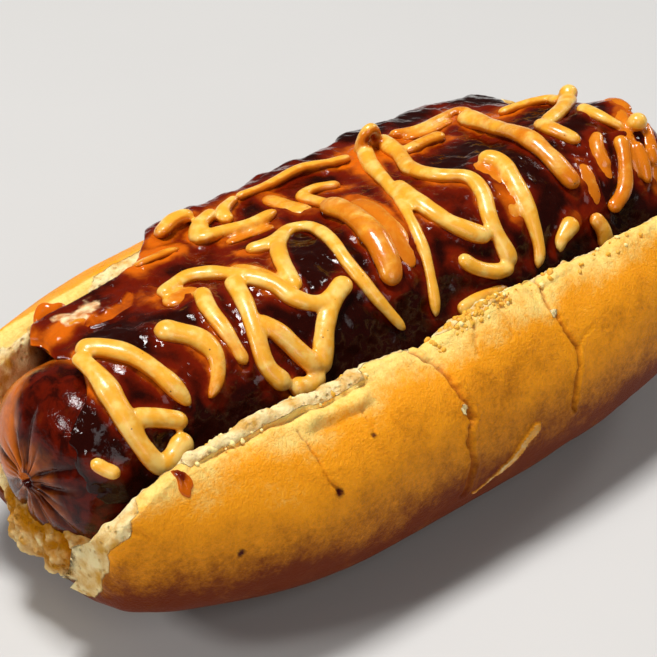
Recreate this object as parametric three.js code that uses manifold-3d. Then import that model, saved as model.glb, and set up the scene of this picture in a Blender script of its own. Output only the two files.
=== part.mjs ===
// Hot dog: a split roll holding a smoked sausage, covered with a sticky sauce and mustard strands.
// Millimetres, +Z up. X runs along the roll, -Y is the side with the lower cut edge.
import * as THREE from 'three';
import { mergeVertices } from 'three/addons/utils/BufferGeometryUtils.js';
import Module from 'manifold-3d';

// Pairs in square brackets are values for the left (-X) and the right (+X) end.

// ---- roll ----
const ROLL_HALF_WIDTH = 35;
const ROLL_HALF_LENGTH = 68;      // scale by which places along the roll are given
const ROLL_WAIST_Z = 19;          // height of the widest place
const ROLL_TOP_RISE = 23.5;       // from the waist to the top that the uncut roll would have
const ROLL_SQUARENESS = 2.3;      // exponent of the cross-section
const FLAT_DEPTH = 0.35;          // the roll is pressed flat underneath by this much
const NEAR_ENDS = [-66.5, 66.5];  // x of both ends of the near half
const FAR_ENDS = [-61, 66];       // x of both ends of the far half
const HINGE_ENDS = [-61.5, 65];   // x of both ends of the uncut floor between them
const NEAR_BLUNT = [3, 4.5];      // exponents by which the edge of each half rounds off
const FAR_BLUNT = [3, 3.6];
const THICKNESS_BLUNT = 2.7;      // exponent by which the wall gets thinner towards the ends
const END_THICKNESS = 0.1;        // share of the wall that is left at the ends
const HINGE_END_THICKNESS = 0.25; // the same for the uncut floor
const END_LIFT = 0.12;            // share by which the underside rises at the ends
const END_PINCH = 0.08;           // share by which the ends get narrower
const NEAR_CUT_ANGLE = 46;        // angle from the top to the cut edges, in degrees
const NEAR_CUT_ANGLE_LEFT = 41;
const FAR_CUT_ANGLE = 39;
const FAR_CUT_ANGLES = [27, 52];
const END_CUT_ANGLE = 74;         // the same where an end closes
const CRUMB_NEAR = 3;             // thickness of the crumb edge that shows on each cut
const CRUMB_FAR = 3;
const CRUMB_RISE = 0.3;
const END_CRUMB = 2.5;            // how far the cut edge stands off the channel at the ends
const END_EDGE_ANGLE = 104;       // angle about the sausage to which the cut edges fall there
const WEDGE_SHARE = 0.2;          // share of the cut face that leans away from the sausage
const WEDGE_CURVE = 1.4;
const ROLL_STATIONS = 48;
const ROLL_STATION_MARGIN = 0.06; // leaves the tip of the cosine spacing out
const ROLL_RING = 10;             // steps of the cut face; the crust has twice as many

// ---- sausage ----
const SAUSAGE_RADIUS = 14;
const SAUSAGE_AXIS_Z = 26;
const SAUSAGE_ENDS = [-64.5, 66.5];
const SAUSAGE_CAP = 9;            // length of each rounded end
const SAUSAGE_CAP_EXPONENT = 2.3;
const SAUSAGE_AROUND = 28;
const SAUSAGE_CAP_STEPS = 6;
const SAUSAGE_BODY_STEPS = 3;
const CASING_FOLDS = 9;           // folds gathered round the knot
const CASING_FOLD_DEPTH = 0.55;
const CASING_FOLD_PHASE = 0.6;
const FOLD_FADE_RADIUS = 5;       // the folds run out within this radius of the knot
const KNOT_RADIUS = 2.2;
const KNOT_DEPTH = 1.6;
const KNOT_FLOOR = 0.45;          // radius of the dimple's floor as a share of the knot
const KNOT_LIP = 0.25;
const CHANNEL_RADIUS = SAUSAGE_RADIUS + 0.8;

// ---- sauce and mustard ----
const SAUCE_THICKNESS = 1.5;
const SAUCE_NEAR_EDGE = -23.5;    // distance along the surface from the top line, near side
const SAUCE_FAR_EDGE = 24;        // the same at which the slanted ends stop slanting
const SAUCE_STATIONS = 32;
const SAUCE_RING = 12;
const SAUCE_SINK = 3.5;           // depth to which the body reaches, cut back to the sausage
const SAUCE_FILL = 3;             // more depth over the gap beside the sausage
const CREST = 1.4;                // distance from the top line where sauce leaves the sausage
const BRIDGE_SAG = 0.9;           // sag of the sauce between the sausage and the far edge
const GAP = 0.4;                  // clearance between neighbouring pieces
const STRAND_RADIUS = 1.75;
const STRAND_SIDES = 6;
const STRAND_STEP = 3;
const STRAND_SINK = 0.5;          // share of the radius by which a strand stands above the sauce
const STRAND_END = 0.62;          // radius of the last ring as a share
const STRAND_TIP = 0.45;          // how far the tip stands off the last ring, as a share
const SIMPLIFY = 0.06;            // largest change when needless triangles are taken out

const SAUCE_COLOUR = 0x4a1208;
const CRUST_COLOUR = 0xcf8a35;
const SAUSAGE_COLOUR = 0x8a3418;

const WELD = 1e-4;
const deg = (a) => a * Math.PI / 180;
const clamp = (x, low, high) => Math.min(high, Math.max(low, x));
const mix = (a, b, t) => a + (b - a) * t;
const ramp = (from, to, x) => {
  const t = clamp((x - from) / (to - from), 0, 1);
  return t * t * (3 - 2 * t);
};
const rounded = (u, exponent) => Math.pow(Math.max(0, 1 - Math.abs(u) ** exponent), 1 / exponent);
const bump = (x, centre, width) => Math.exp(-(((x - centre) / width) ** 2));

// ---- shape of the roll ----

// Angle from the top at which the crust ends on each side, in degrees.
function nearCut(x) {
  return mix(NEAR_CUT_ANGLE, NEAR_CUT_ANGLE_LEFT, ramp(10, -60, x));
}

function farCut(x) {
  const left = (FAR_CUT_ANGLES[0] - FAR_CUT_ANGLE) * ramp(-5, -60, x);
  const right = (FAR_CUT_ANGLES[1] - FAR_CUT_ANGLE) * ramp(0, 52, x);
  return FAR_CUT_ANGLE + left + right;
}

// [y, z] on the crust of the uncut roll, t in degrees from the top, minus towards the near side.
function crustPoint(t) {
  const s = Math.sin(deg(t));
  const c = Math.cos(deg(t));
  const n = ROLL_SQUARENESS;
  const r = (Math.abs(s) ** n + Math.abs(c) ** n) ** (-1 / n);
  const height = c > 0 ? ROLL_TOP_RISE : ROLL_WAIST_Z + FLAT_DEPTH;
  return [ROLL_HALF_WIDTH * s * r, ROLL_WAIST_Z + height * c * r];
}

// The near edge is torn: lumps of crumb and one step where the crust was pulled up.
function nearTear(x) {
  const lumps = 0.5 * Math.sin(x * 0.9) + 0.35 * Math.sin(x * 2.1 + 1.3);
  const lip = 1.3 * bump(x, 7, 9) - 1.2 * bump(x, -8, 5) - 0.9 * bump(x, -30, 7);
  return lumps + lip;
}

// The roll's surfaces are given by u along it, from -1 to 1, and v from the near edge (0) round
// the bottom (0.5) to the far edge (1).

// How far an edge has rounded off at its end: 0 along the middle, 1 at the tip.
function endRounding(u, v) {
  const end = u < 0 ? 0 : 1;
  return 1 - rounded(u, mix(NEAR_BLUNT[end], FAR_BLUNT[end], ramp(0.3, 0.7, v)));
}

// x of the place u: the halves and the uncut floor end at different places.
function alongRoll(u, v) {
  const end = u < 0 ? 0 : 1;
  const nearToHinge = mix(NEAR_ENDS[end], HINGE_ENDS[end], ramp(0.1, 0.3, v));
  return Math.abs(u) * mix(nearToHinge, FAR_ENDS[end], ramp(0.66, 0.84, v));
}

// [y, z] on the crust before the wall gets thinner towards the ends.
function crustAt(u, v, rounding) {
  const x = u * ROLL_HALF_LENGTH;
  const near = mix(nearCut(x), END_CUT_ANGLE, rounding);
  const far = mix(farCut(x), END_CUT_ANGLE, rounding);
  const [y, z] = crustPoint(mix(-near, far - 360, v));
  const end = ramp(0.45, 1, Math.abs(u));
  const top = ROLL_WAIST_Z + 2;
  const lifted = z < top ? top + (z - top) * (1 - END_LIFT * end) : z;
  return [y * (1 - END_PINCH * end), lifted];
}

// Radius and angle of [y, z] about the sausage's axis, the angle counted from the top.
function polar([y, z]) {
  return [Math.hypot(y, z - SAUSAGE_AXIS_Z), Math.atan2(Math.abs(y), z - SAUSAGE_AXIS_Z)];
}

// [y, z] on the cut face: it leans away from the sausage near both edges and is its channel
// below them.
function cutFaceAt(u, v, rounding) {
  const x = u * ROLL_HALF_LENGTH;
  const near = crustPoint(-nearCut(x));
  const far = crustPoint(farCut(x));
  const [nearR, nearAngle] = polar([near[0] + CRUMB_NEAR, near[1] + CRUMB_RISE]);
  const [farR, farAngle] = polar([far[0] - CRUMB_FAR, far[1] - CRUMB_RISE]);
  const first = mix(nearAngle, deg(END_EDGE_ANGLE), rounding);
  const last = 2 * Math.PI - mix(farAngle, deg(END_EDGE_ANGLE), rounding);
  const openNear = clamp(1 - v / WEDGE_SHARE, 0, 1) ** WEDGE_CURVE;
  const openFar = clamp(1 - (1 - v) / WEDGE_SHARE, 0, 1) ** WEDGE_CURVE;
  const r = CHANNEL_RADIUS
    + openNear * mix(nearR - CHANNEL_RADIUS, END_CRUMB, rounding)
    + openFar * mix(farR - CHANNEL_RADIUS, END_CRUMB, rounding);
  const angle = mix(first, last, v);
  return [-r * Math.sin(angle), SAUSAGE_AXIS_Z + r * Math.cos(angle)];
}

// Both surfaces of the wall at (u, v).
function rollSection(u, v) {
  const rounding = endRounding(u, v);
  const x = alongRoll(u, v);
  const crust = crustAt(u, v, rounding);
  const face = cutFaceAt(u, v, rounding);
  const hinge = ramp(0.25, 0.42, v) * ramp(0.8, 0.62, v);
  const least = mix(END_THICKNESS, HINGE_END_THICKNESS, hinge);
  const share = mix(least, 1, rounded(u, THICKNESS_BLUNT));
  const torn = nearTear(x) * ramp(0.1, 0, v) * (1 - rounding);
  return {
    crust: [x, mix(face[0], crust[0], share), Math.max(0, mix(face[1], crust[1], share) + torn)],
    face: [x, face[0], face[1] + torn],
  };
}

// ---- surface on which sauce and mustard lie ----

// [y, z] of the far edge of the crust at x.
function farRim(x) {
  const u = clamp(x / ROLL_HALF_LENGTH, -0.93, 0.93);
  const edge = rollSection(u, 1).crust;
  return [edge[1], edge[2]];
}

// Point and outward direction at x, distance a from the top line (minus towards the near side):
// round the sausage up to the crest, straight to the far rim with a sag, then bending over it.
function toppingSurface(x, a) {
  const r = SAUSAGE_RADIUS + SAUCE_THICKNESS;
  if (a <= CREST) {
    const t = a / r;
    return {
      p: [x, r * Math.sin(t), SAUSAGE_AXIS_Z + r * Math.cos(t)],
      n: [0, Math.sin(t), Math.cos(t)],
    };
  }
  const crest = [r * Math.sin(CREST / r), SAUSAGE_AXIS_Z + r * Math.cos(CREST / r)];
  const rim = farRim(x);
  rim[1] += SAUCE_THICKNESS * 0.8;
  const span = Math.hypot(rim[0] - crest[0], rim[1] - crest[1]);
  const dir = [(rim[0] - crest[0]) / span, (rim[1] - crest[1]) / span];
  const run = a - CREST;
  if (run <= span) {
    const sag = BRIDGE_SAG * Math.sin(Math.PI * run / span);
    return {
      p: [x, crest[0] + dir[0] * run, crest[1] + dir[1] * run - sag],
      n: [0, -dir[1], dir[0]],
    };
  }
  const over = run - span;
  const slope = Math.atan2(dir[1], dir[0]) - Math.min(over / 28, 0.68);
  return {
    p: [x, rim[0] + Math.cos(slope) * over, rim[1] + Math.sin(slope) * over],
    n: [0, -Math.sin(slope), Math.cos(slope)],
  };
}

// ---- mesh helpers ----

// Quads between neighbouring rings of n points each, added to the index.
function joinRings(index, rings, n) {
  for (let i = 0; i < rings - 1; i++) {
    for (let j = 0; j < n; j++) {
      const a = i * n + j;
      const b = i * n + (j + 1) % n;
      index.push(a, b, b + n, a, b + n, a + n);
    }
  }
}

// Closed body from rings of equal length; both end rings are closed towards their tips.
function loft(rings, tips) {
  const n = rings[0].length;
  const positions = rings.flat(2);
  const index = [];
  joinRings(index, rings.length, n);
  const tip = positions.length / 3;
  positions.push(...tips[0], ...tips[1]);
  const last = (rings.length - 1) * n;
  for (let j = 0; j < n; j++) {
    const k = (j + 1) % n;
    index.push(tip, k, j);
    index.push(tip + 1, last + j, last + k);
  }
  return outward(positions, index);
}

// The body with its faces turned outwards.
function outward(positions, index) {
  let volume = 0;
  const at = (i) => new THREE.Vector3(positions[3 * i], positions[3 * i + 1], positions[3 * i + 2]);
  for (let t = 0; t < index.length; t += 3) {
    volume += at(index[t]).dot(at(index[t + 1]).cross(at(index[t + 2])));
  }
  if (volume < 0) {
    for (let t = 0; t < index.length; t += 3) {
      [index[t], index[t + 1]] = [index[t + 1], index[t]];
    }
  }
  const geometry = new THREE.BufferGeometry();
  geometry.setAttribute('position', new THREE.Float32BufferAttribute(positions, 3));
  geometry.setIndex(index);
  return geometry;
}

const wasm = await Module();
wasm.setup();

function toSolid(geometry) {
  const merged = mergeVertices(geometry, WELD);
  return new wasm.Manifold(new wasm.Mesh({
    numProp: 3,
    vertProperties: new Float32Array(merged.attributes.position.array),
    triVerts: new Uint32Array(merged.index.array),
  }));
}

function toGeometry(solid) {
  const mesh = solid.getMesh();
  const geometry = new THREE.BufferGeometry();
  geometry.setAttribute('position', new THREE.Float32BufferAttribute(mesh.vertProperties, 3));
  geometry.setIndex(Array.from(mesh.triVerts));
  return geometry;
}

// The same body with its surface moved outwards, to keep a clearance round it.
function grown(geometry, distance) {
  const bigger = geometry.clone();
  bigger.computeVertexNormals();
  const { position, normal } = bigger.attributes;
  const point = new THREE.Vector3();
  const out = new THREE.Vector3();
  for (let i = 0; i < position.count; i++) {
    out.fromBufferAttribute(normal, i);
    point.fromBufferAttribute(position, i).addScaledVector(out, distance);
    position.setXYZ(i, point.x, point.y, point.z);
  }
  bigger.deleteAttribute('normal');
  return bigger;
}

// The largest of the separate bodies in a solid.
function largest(solid) {
  return solid.decompose().sort((a, b) => b.volume() - a.volume())[0];
}

// ---- roll ----

// Each ring goes along the crust from the near to the far edge and back along the cut face. The
// open ends are closed by a strip between the two.
function rollGeometry() {
  const steps = ROLL_RING;
  const positions = [];
  const index = [];
  const ring = 3 * steps + 2;
  const margin = ROLL_STATION_MARGIN;
  const widest = Math.cos(Math.PI * margin);
  for (let i = 0; i <= ROLL_STATIONS; i++) {
    const u = -Math.cos(Math.PI * mix(margin, 1 - margin, i / ROLL_STATIONS)) / widest;
    for (let j = 0; j <= 2 * steps; j++) {
      positions.push(...rollSection(u, j / (2 * steps)).crust);
    }
    for (let j = steps; j >= 0; j--) {
      positions.push(...rollSection(u, j / steps).face);
    }
  }
  joinRings(index, ROLL_STATIONS + 1, ring);
  for (const [base, flip] of [[0, false], [ROLL_STATIONS * ring, true]]) {
    for (let k = 0; k < steps; k++) {
      const face = base + ring - 1 - k;
      const crust = base + 2 * k;
      const strip = [
        [crust, face, crust + 1],
        [crust + 1, face, face - 1],
        [crust + 1, face - 1, crust + 2],
      ];
      for (const f of strip) index.push(...(flip ? [f[0], f[2], f[1]] : f));
    }
  }
  return outward(positions, index);
}

// ---- sausage ----

// Distance from the tip and radius of the rounded end, from the knot outwards.
function capProfile() {
  const profile = [];
  for (let k = SAUSAGE_CAP_STEPS; k >= 0; k--) {
    const t = (k / SAUSAGE_CAP_STEPS) * Math.PI / 2;
    const depth = SAUSAGE_CAP * (1 - Math.sin(t) ** (2 / SAUSAGE_CAP_EXPONENT));
    const radius = SAUSAGE_RADIUS * Math.cos(t) ** (2 / SAUSAGE_CAP_EXPONENT);
    if (radius > KNOT_RADIUS) profile.push([depth, radius]);
  }
  return profile;
}

// Radius of the casing at an angle: folds gather round the knot and run out towards the body.
function casingRadius(radius, angle, folded) {
  const fade = folded * rounded(radius / SAUSAGE_RADIUS, 3) * clamp(radius / FOLD_FADE_RADIUS, 0, 1);
  const wave = (Math.cos(CASING_FOLDS * angle + CASING_FOLD_PHASE) - 1) / 2;
  return radius + CASING_FOLD_DEPTH * fade * wave;
}

function sausageGeometry() {
  const [left, right] = SAUSAGE_ENDS;
  const cap = capProfile();
  const floor = KNOT_RADIUS * KNOT_FLOOR;
  const stations = [[left + KNOT_DEPTH, floor, 0.2], [left + KNOT_LIP, KNOT_RADIUS, 1]];
  for (const [depth, radius] of cap) stations.push([left + depth, radius, 1]);
  for (let k = 1; k < SAUSAGE_BODY_STEPS; k++) {
    const x = mix(left + SAUSAGE_CAP, right - SAUSAGE_CAP, k / SAUSAGE_BODY_STEPS);
    stations.push([x, SAUSAGE_RADIUS, 0]);
  }
  for (const [depth, radius] of cap.reverse()) stations.push([right - depth, radius, 1]);
  stations.push([right - KNOT_LIP, KNOT_RADIUS, 1], [right - KNOT_DEPTH, floor, 0.2]);

  const rings = stations.map(([x, radius, folded]) => {
    const ring = [];
    for (let j = 0; j < SAUSAGE_AROUND; j++) {
      const angle = (j / SAUSAGE_AROUND) * 2 * Math.PI;
      const r = casingRadius(radius, angle, folded);
      ring.push([x, r * Math.sin(angle), SAUSAGE_AXIS_Z + r * Math.cos(angle)]);
    }
    return ring;
  });
  const tips = [left, right].map((end) => end + Math.sign(-end) * KNOT_DEPTH);
  return loft(rings, tips.map((x) => [x, 0, SAUSAGE_AXIS_Z]));
}

// ---- sauce ----

// How far the sauce reaches towards or over the far edge, along the topping surface.
function sauceFarEdge(x) {
  const rim = farRim(x)[0];
  const inside = rim - 3.5;
  const over = rim + 3.6 + 0.8 * Math.sin(x * 0.31) + 0.5 * Math.sin(x * 0.83);
  const bareEnd = mix(9, inside, ramp(-57, -50, x));
  return mix(bareEnd, over, ramp(-34, -24, x));
}

// x at which the sauce ends, at distance a from the top line.
function sauceLeftEnd(a) {
  return -57 - 5.5 * ramp(-2, -12, a) + 2 * ramp(2, 12, a);
}

function sauceRightEnd(a) {
  return 61.5 - 5.5 * ramp(2, 14, a);
}

// Gentle swells of the sauce's surface.
function sauceWave(x, a) {
  return 0.15 * Math.sin(x * 0.55 + a * 0.3) + 0.12 * Math.sin(a * 0.8 - x * 0.2);
}

// A blanket whose upper side is the topping surface, with an underside deep enough to be cut
// back to the sausage and the roll.
function sauceGeometry() {
  const half = SAUCE_RING + 1;
  const positions = [];
  const index = [];
  for (let i = 0; i <= SAUCE_STATIONS; i++) {
    const u = i / SAUCE_STATIONS;
    const top = [];
    const bottom = [];
    for (let j = 0; j <= SAUCE_RING; j++) {
      const w = j / SAUCE_RING;
      const slant = mix(SAUCE_NEAR_EDGE, SAUCE_FAR_EDGE, w);
      const x = mix(sauceLeftEnd(slant), sauceRightEnd(slant), u);
      const a = mix(SAUCE_NEAR_EDGE, sauceFarEdge(x), w);
      const { p, n } = toppingSurface(x, a);
      const inner = Math.min(rounded(2 * u - 1, 9), rounded(2 * w - 1, 8));
      const lift = mix(-1.1 * SAUCE_THICKNESS, sauceWave(x, a), inner);
      const gap = Math.sin(Math.PI * clamp((a - CREST) / 20, 0, 1));
      const sink = SAUCE_SINK + SAUCE_FILL * gap;
      top.push([p[0], p[1] + n[1] * lift, p[2] + n[2] * lift]);
      bottom.unshift([p[0], p[1] - n[1] * sink, p[2] - n[2] * sink]);
    }
    positions.push(...top.flat(), ...bottom.flat());
  }
  joinRings(index, SAUCE_STATIONS + 1, 2 * half);
  const last = SAUCE_STATIONS * 2 * half;
  for (let up = 0; up < half - 1; up++) {
    const down = 2 * half - 1 - up;
    index.push(up, down, up + 1, up + 1, down, down - 1);
    index.push(last + up, last + up + 1, last + down);
    index.push(last + up + 1, last + down - 1, last + down);
  }
  return outward(positions, index);
}

// ---- mustard ----

// Each strand: radius as a share of STRAND_RADIUS, then [x, a] places it passes through.
const STRANDS = [
  // left end: tall loop, its cross bar and the short end below
  { size: [1.1, 0.9], path: [[-53.5, 3], [-48, 3], [-45.5, -2], [-43.5, -7], [-43, -13]] },
  { size: [1.1, 1], path: [
    [-53.5, 2], [-53, -3.5], [-53.5, -9.5], [-53.3, -14], [-52, -19.5], [-49.5, -19],
    [-46.3, -16],
  ] },
  { size: [0.9, 0.9], path: [[-52, -12.5], [-48, -13], [-45, -15.5]] },
  { size: [0.7, 0.8], path: [[-62, -14.5], [-58.7, -18]] },
  { size: [1.5, 0.8], path: [
    [-41, -0.5], [-37.5, -2.7], [-35, -6], [-35.5, -9.7], [-37.5, -12.8], [-40.5, -14.5],
  ] },
  // fan of strands running down from the arc
  { size: [1, 0.9], path: [[-29, 5], [-31.7, -2], [-32.3, -8], [-32.7, -12.5]] },
  { size: [1, 1], path: [
    [-34, 7], [-28.1, 9], [-24, 8.7], [-21.2, 6], [-20.5, 0.5], [-18.5, -3], [-17.5, -7],
    [-14.7, -9.5], [-8.5, -7.2],
  ] },
  { size: [1, 1], path: [[-23.9, 4], [-25.7, -4.6], [-27.2, -9], [-27.3, -13.5], [-27, -18.5]] },
  { size: [1, 1.2], path: [[-25.9, -6], [-24.6, -9], [-23.6, -12.6], [-22.2, -15.7], [-21, -19]] },
  { size: [0.9, 1.1], path: [[-25.5, -10.5], [-25, -14], [-24, -18]] },
  // ring and its tail
  { size: [1, 1], path: [
    [-16.1, 8.8], [-10.8, 6.4], [-7, 7.8], [-3.7, 8.4], [-3.3, 5.6], [-5, -0.3], [-6.3, -5],
    [-6.4, -9], [-6, -12.5], [-5, -15], [-3.4, -18.8],
  ] },
  { size: [1.1, 1.1], path: [[-9.2, 6], [-13, 3], [-15.2, 0], [-17.3, -3.2]] },
  { size: [1, 0.9], path: [
    [-8.7, -7.5], [-12.4, -8.6], [-15.4, -11], [-17.3, -13.5], [-18.8, -16.5], [-20.8, -19],
  ] },
  // along the far edge
  { size: [1.4, 1], path: [[-25.7, 22.3], [-23.2, 23.6], [-19.6, 23.8], [-15, 22.5]] },
  { size: [1.1, 1.2], path: [
    [-9.8, 23.5], [-13.9, 21.5], [-18.3, 19.5], [-18.6, 16.3], [-14.5, 17], [-11.5, 15.6],
    [-6.3, 15.1], [-2.1, 13.1],
  ] },
  { size: [1, 1], path: [[-4.4, 23.8], [-8.2, 23.5], [-10.1, 21.5], [-10, 18.6], [-10.8, 16.1]] },
  { size: [1, 1], path: [
    [-8.2, 23.8], [-2.9, 24.3], [4.6, 24.3], [11.3, 24.1], [16.3, 22.5], [19.9, 20.4],
  ] },
  { size: [1, 1], path: [[3.3, 17.6], [7.2, 17.1], [8.4, 15.1], [8.3, 13.1]] },
  { size: [1, 1.1], path: [[3.3, 17.6], [3.1, 13.7], [3.6, 9.5], [2.7, 5.6]] },
  // wide smeared band
  { size: [1.2, 1.3], path: [
    [0.5, 13.1], [2.8, 6.4], [1.4, -0.2], [0.3, -5.5], [-0.4, -9.5], [-1, -12],
  ] },
  // long pair from the loop that stands up on the far edge
  { size: [1.1, 0.9], path: [
    [20.8, 23.1], [18.7, 17.1], [16.6, 13.1], [14.8, 7.3], [10.8, 0.8], [9.1, -4], [6.9, -9],
    [5.8, -13.2], [4.2, -17], [3.1, -19.5],
  ] },
  { size: [1, 1], path: [
    [15.3, 8.4], [14.1, 1.5], [14.1, -3.4], [14.4, -7], [15.9, -10.2], [18.2, -12],
    [20.2, -12.8],
  ] },
  { size: [1.1, 1.1], path: [
    [24, 23.5], [27.5, 19.8], [22.2, 11.9], [21.6, 8.1], [23.7, 4], [25, -0.6], [23.7, -3.5],
    [21.5, -7], [20.9, -11.8], [21.2, -15], [21.4, -18.3],
  ] },
  { size: [1.2, 1], path: [
    [29.4, 6.4], [32, 4.5], [32.3, 1.2], [31.2, -3.7], [29.4, -9.2], [28.9, -13.5],
    [27.2, -17.5], [24.5, -20],
  ] },
  { size: [0.9, 1], path: [[11.6, -12.3], [14.2, -14.7], [16.7, -16.2], [20.4, -17.6]] },
  { size: [0.9, 0.8], path: [[6.6, -20.3], [12.4, -19.4], [17.9, -19.8]] },
  { size: [1, 0.9], path: [[38.5, -15], [36.5, -14.7], [33.5, -16.5], [31.1, -19.3]] },
  { size: [1, 1], path: [[40.5, -15.5], [41.4, -18.2], [40, -21.3]] },
  // right end
  { size: [1.2, 1.5], path: [
    [43.5, 18.7], [43.2, 12.8], [42.5, 7.8], [40.2, 0], [39.7, -4.6], [39.6, -9], [40.8, -12],
  ] },
  { size: [0.9, 1.1], path: [[47.8, 16], [52.3, 15], [55.8, 12.6], [56.3, 10]] },
  { size: [1.4, 0.9], path: [[59, 9.5], [56, 9], [53.3, 6.5], [47.7, 4.6]] },
  { size: [1, 1], path: [[57, 7.8], [56.4, 5.6], [55.2, 0], [55.9, -4.5], [59, -4.6]] },
  { size: [1, 1], path: [[46.2, 4.6], [45.8, -0.9], [47.7, -4.4]] },
  { size: [1.1, 1.1], path: [[24.8, 14.7], [27.6, 14], [30.3, 11.7], [34.4, 14.5], [39.2, 16.7]] },
  { size: [1, 1], path: [
    [25.7, 24], [29.5, 23.8], [33.2, 23], [36.8, 22.8], [44, 25], [48.7, 25.5], [47.9, 23],
  ] },
  { size: [0.9, 0.8], path: [[50.9, -3.2], [48.8, -7.2], [49.2, -11], [47, -14.5]] },
];

// Loop that stands up from the far edge and knobs where a strand was started.
const STANDING_LOOP = { x: 22.2, a: 23.4, height: 6.5, reach: 2.6, lean: 1.5, radius: 1.6 };
const STANDING_LOOP_STEPS = 6;
const STANDING_LOOP_STEP = 1.8;
const KNOBS = [
  { x: 59.5, a: 9.4, lift: 1.6, radius: 2.2 },
  { x: 60, a: -4.6, lift: 1.2, radius: 2.3 },
  { x: -24.2, a: 22.8, lift: 1.2, radius: 2.6 },
];

// Closed tube with round ends through points, its radius running from r0 to r1.
function tube(points, r0, r1, step) {
  const curve = new THREE.CatmullRomCurve3(points, false, 'centripetal');
  const count = Math.max(3, Math.round(curve.getLength() / step));
  const centres = curve.getSpacedPoints(count);
  const { tangents, normals, binormals } = curve.computeFrenetFrames(count, false);
  const rings = centres.map((centre, i) => {
    const atEnd = i === 0 || i === count;
    const radius = mix(r0, r1, i / count) * (atEnd ? STRAND_END : 1);
    const ring = [];
    for (let j = 0; j < STRAND_SIDES; j++) {
      const t = (j / STRAND_SIDES) * 2 * Math.PI;
      const q = centre.clone()
        .addScaledVector(normals[i], Math.cos(t) * radius)
        .addScaledVector(binormals[i], Math.sin(t) * radius);
      ring.push(q.toArray());
    }
    return ring;
  });
  const first = centres[0].clone().addScaledVector(tangents[0], -r0 * STRAND_TIP);
  const last = centres[count].clone().addScaledVector(tangents[count], r1 * STRAND_TIP);
  return loft(rings, [first.toArray(), last.toArray()]);
}

function onTopping(x, a, lift) {
  const { p, n } = toppingSurface(x, a);
  return new THREE.Vector3(p[0], p[1] + n[1] * lift, p[2] + n[2] * lift);
}

function strandTube({ size, path }) {
  const r0 = size[0] * STRAND_RADIUS;
  const r1 = size[1] * STRAND_RADIUS;
  const lift = STRAND_SINK * Math.min(r0, r1);
  return tube(path.map(([x, a]) => onTopping(x, a, lift)), r0, r1, STRAND_STEP);
}

function standingLoop({ x, a, height, reach, lean, radius }) {
  const foot = onTopping(x, a, 0);
  const points = [];
  for (let k = 0; k <= STANDING_LOOP_STEPS; k++) {
    const t = Math.PI * (k / STANDING_LOOP_STEPS);
    points.push(new THREE.Vector3(
      foot.x - reach * Math.cos(t),
      foot.y - lean * Math.sin(t),
      foot.z - 0.5 + (height - radius) * Math.sin(t),
    ));
  }
  return tube(points, radius, radius, STANDING_LOOP_STEP);
}

function knob({ x, a, lift, radius }) {
  const geometry = new THREE.IcosahedronGeometry(radius, 1);
  const centre = onTopping(x, a, lift);
  geometry.translate(centre.x, centre.y, centre.z);
  geometry.deleteAttribute('normal');
  geometry.deleteAttribute('uv');
  return mergeVertices(geometry, WELD);
}

// Sauce with the mustard fused to it, cut clear of the sausage and the roll.
function toppingGeometry(roll, sausage) {
  const mustard = [
    ...STRANDS.map(strandTube),
    standingLoop(STANDING_LOOP),
    ...KNOBS.map(knob),
  ];
  let solid = toSolid(sauceGeometry());
  for (const piece of mustard) solid = solid.add(toSolid(piece));
  for (const neighbour of [sausage, roll]) {
    solid = solid.subtract(toSolid(grown(neighbour, GAP)));
  }
  return toGeometry(largest(solid.simplify(SIMPLIFY)));
}

// ---- put together ----

const group = new THREE.Group();

function addMesh(name, geometry, colour, roughness) {
  const material = new THREE.MeshStandardMaterial({ color: colour, roughness, metalness: 0 });
  const mesh = new THREE.Mesh(geometry, material);
  mesh.name = name;
  group.add(mesh);
}

const roll = rollGeometry();
const sausage = sausageGeometry();
addMesh('bun', roll, CRUST_COLOUR, 0.7);
addMesh('sausage', sausage, SAUSAGE_COLOUR, 0.35);
addMesh('sauce', toppingGeometry(roll, sausage), SAUCE_COLOUR, 0.2);

export default group;
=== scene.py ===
"""Looks of the hot dog: roll, sausage, sauce and mustard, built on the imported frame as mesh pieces."""

import bpy
import numpy as np
from bpy.props import FloatProperty, FloatVectorProperty, IntProperty, PointerProperty
from mathutils import Matrix


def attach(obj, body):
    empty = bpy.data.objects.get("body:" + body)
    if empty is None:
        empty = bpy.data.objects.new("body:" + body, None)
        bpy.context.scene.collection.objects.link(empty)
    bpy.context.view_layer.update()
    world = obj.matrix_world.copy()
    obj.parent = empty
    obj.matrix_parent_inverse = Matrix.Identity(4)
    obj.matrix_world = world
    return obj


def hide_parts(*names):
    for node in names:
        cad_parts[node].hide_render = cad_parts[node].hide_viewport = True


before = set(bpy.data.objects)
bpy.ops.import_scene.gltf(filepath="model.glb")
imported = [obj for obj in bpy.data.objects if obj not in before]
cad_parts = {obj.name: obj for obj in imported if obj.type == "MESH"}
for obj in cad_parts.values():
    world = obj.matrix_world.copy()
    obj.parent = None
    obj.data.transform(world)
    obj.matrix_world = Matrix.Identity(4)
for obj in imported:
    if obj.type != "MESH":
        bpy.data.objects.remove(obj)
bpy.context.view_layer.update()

bl_info = {
    "name": "Hot dog",
    "version": (1, 0, 0),
    "blender": (4, 5, 0),
    "location": "View3D > Sidebar > Hot Dog",
    "description": "Builds a hot dog with sauce and mustard on its frame",
    "category": "Add Mesh",
}

# Lengths are in millimetres up to the point where a mesh is filled. X runs along the roll, -Y is
# the near side. Pairs are values for the left (-X) and the right (+X) end.
MM = 0.001

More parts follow.
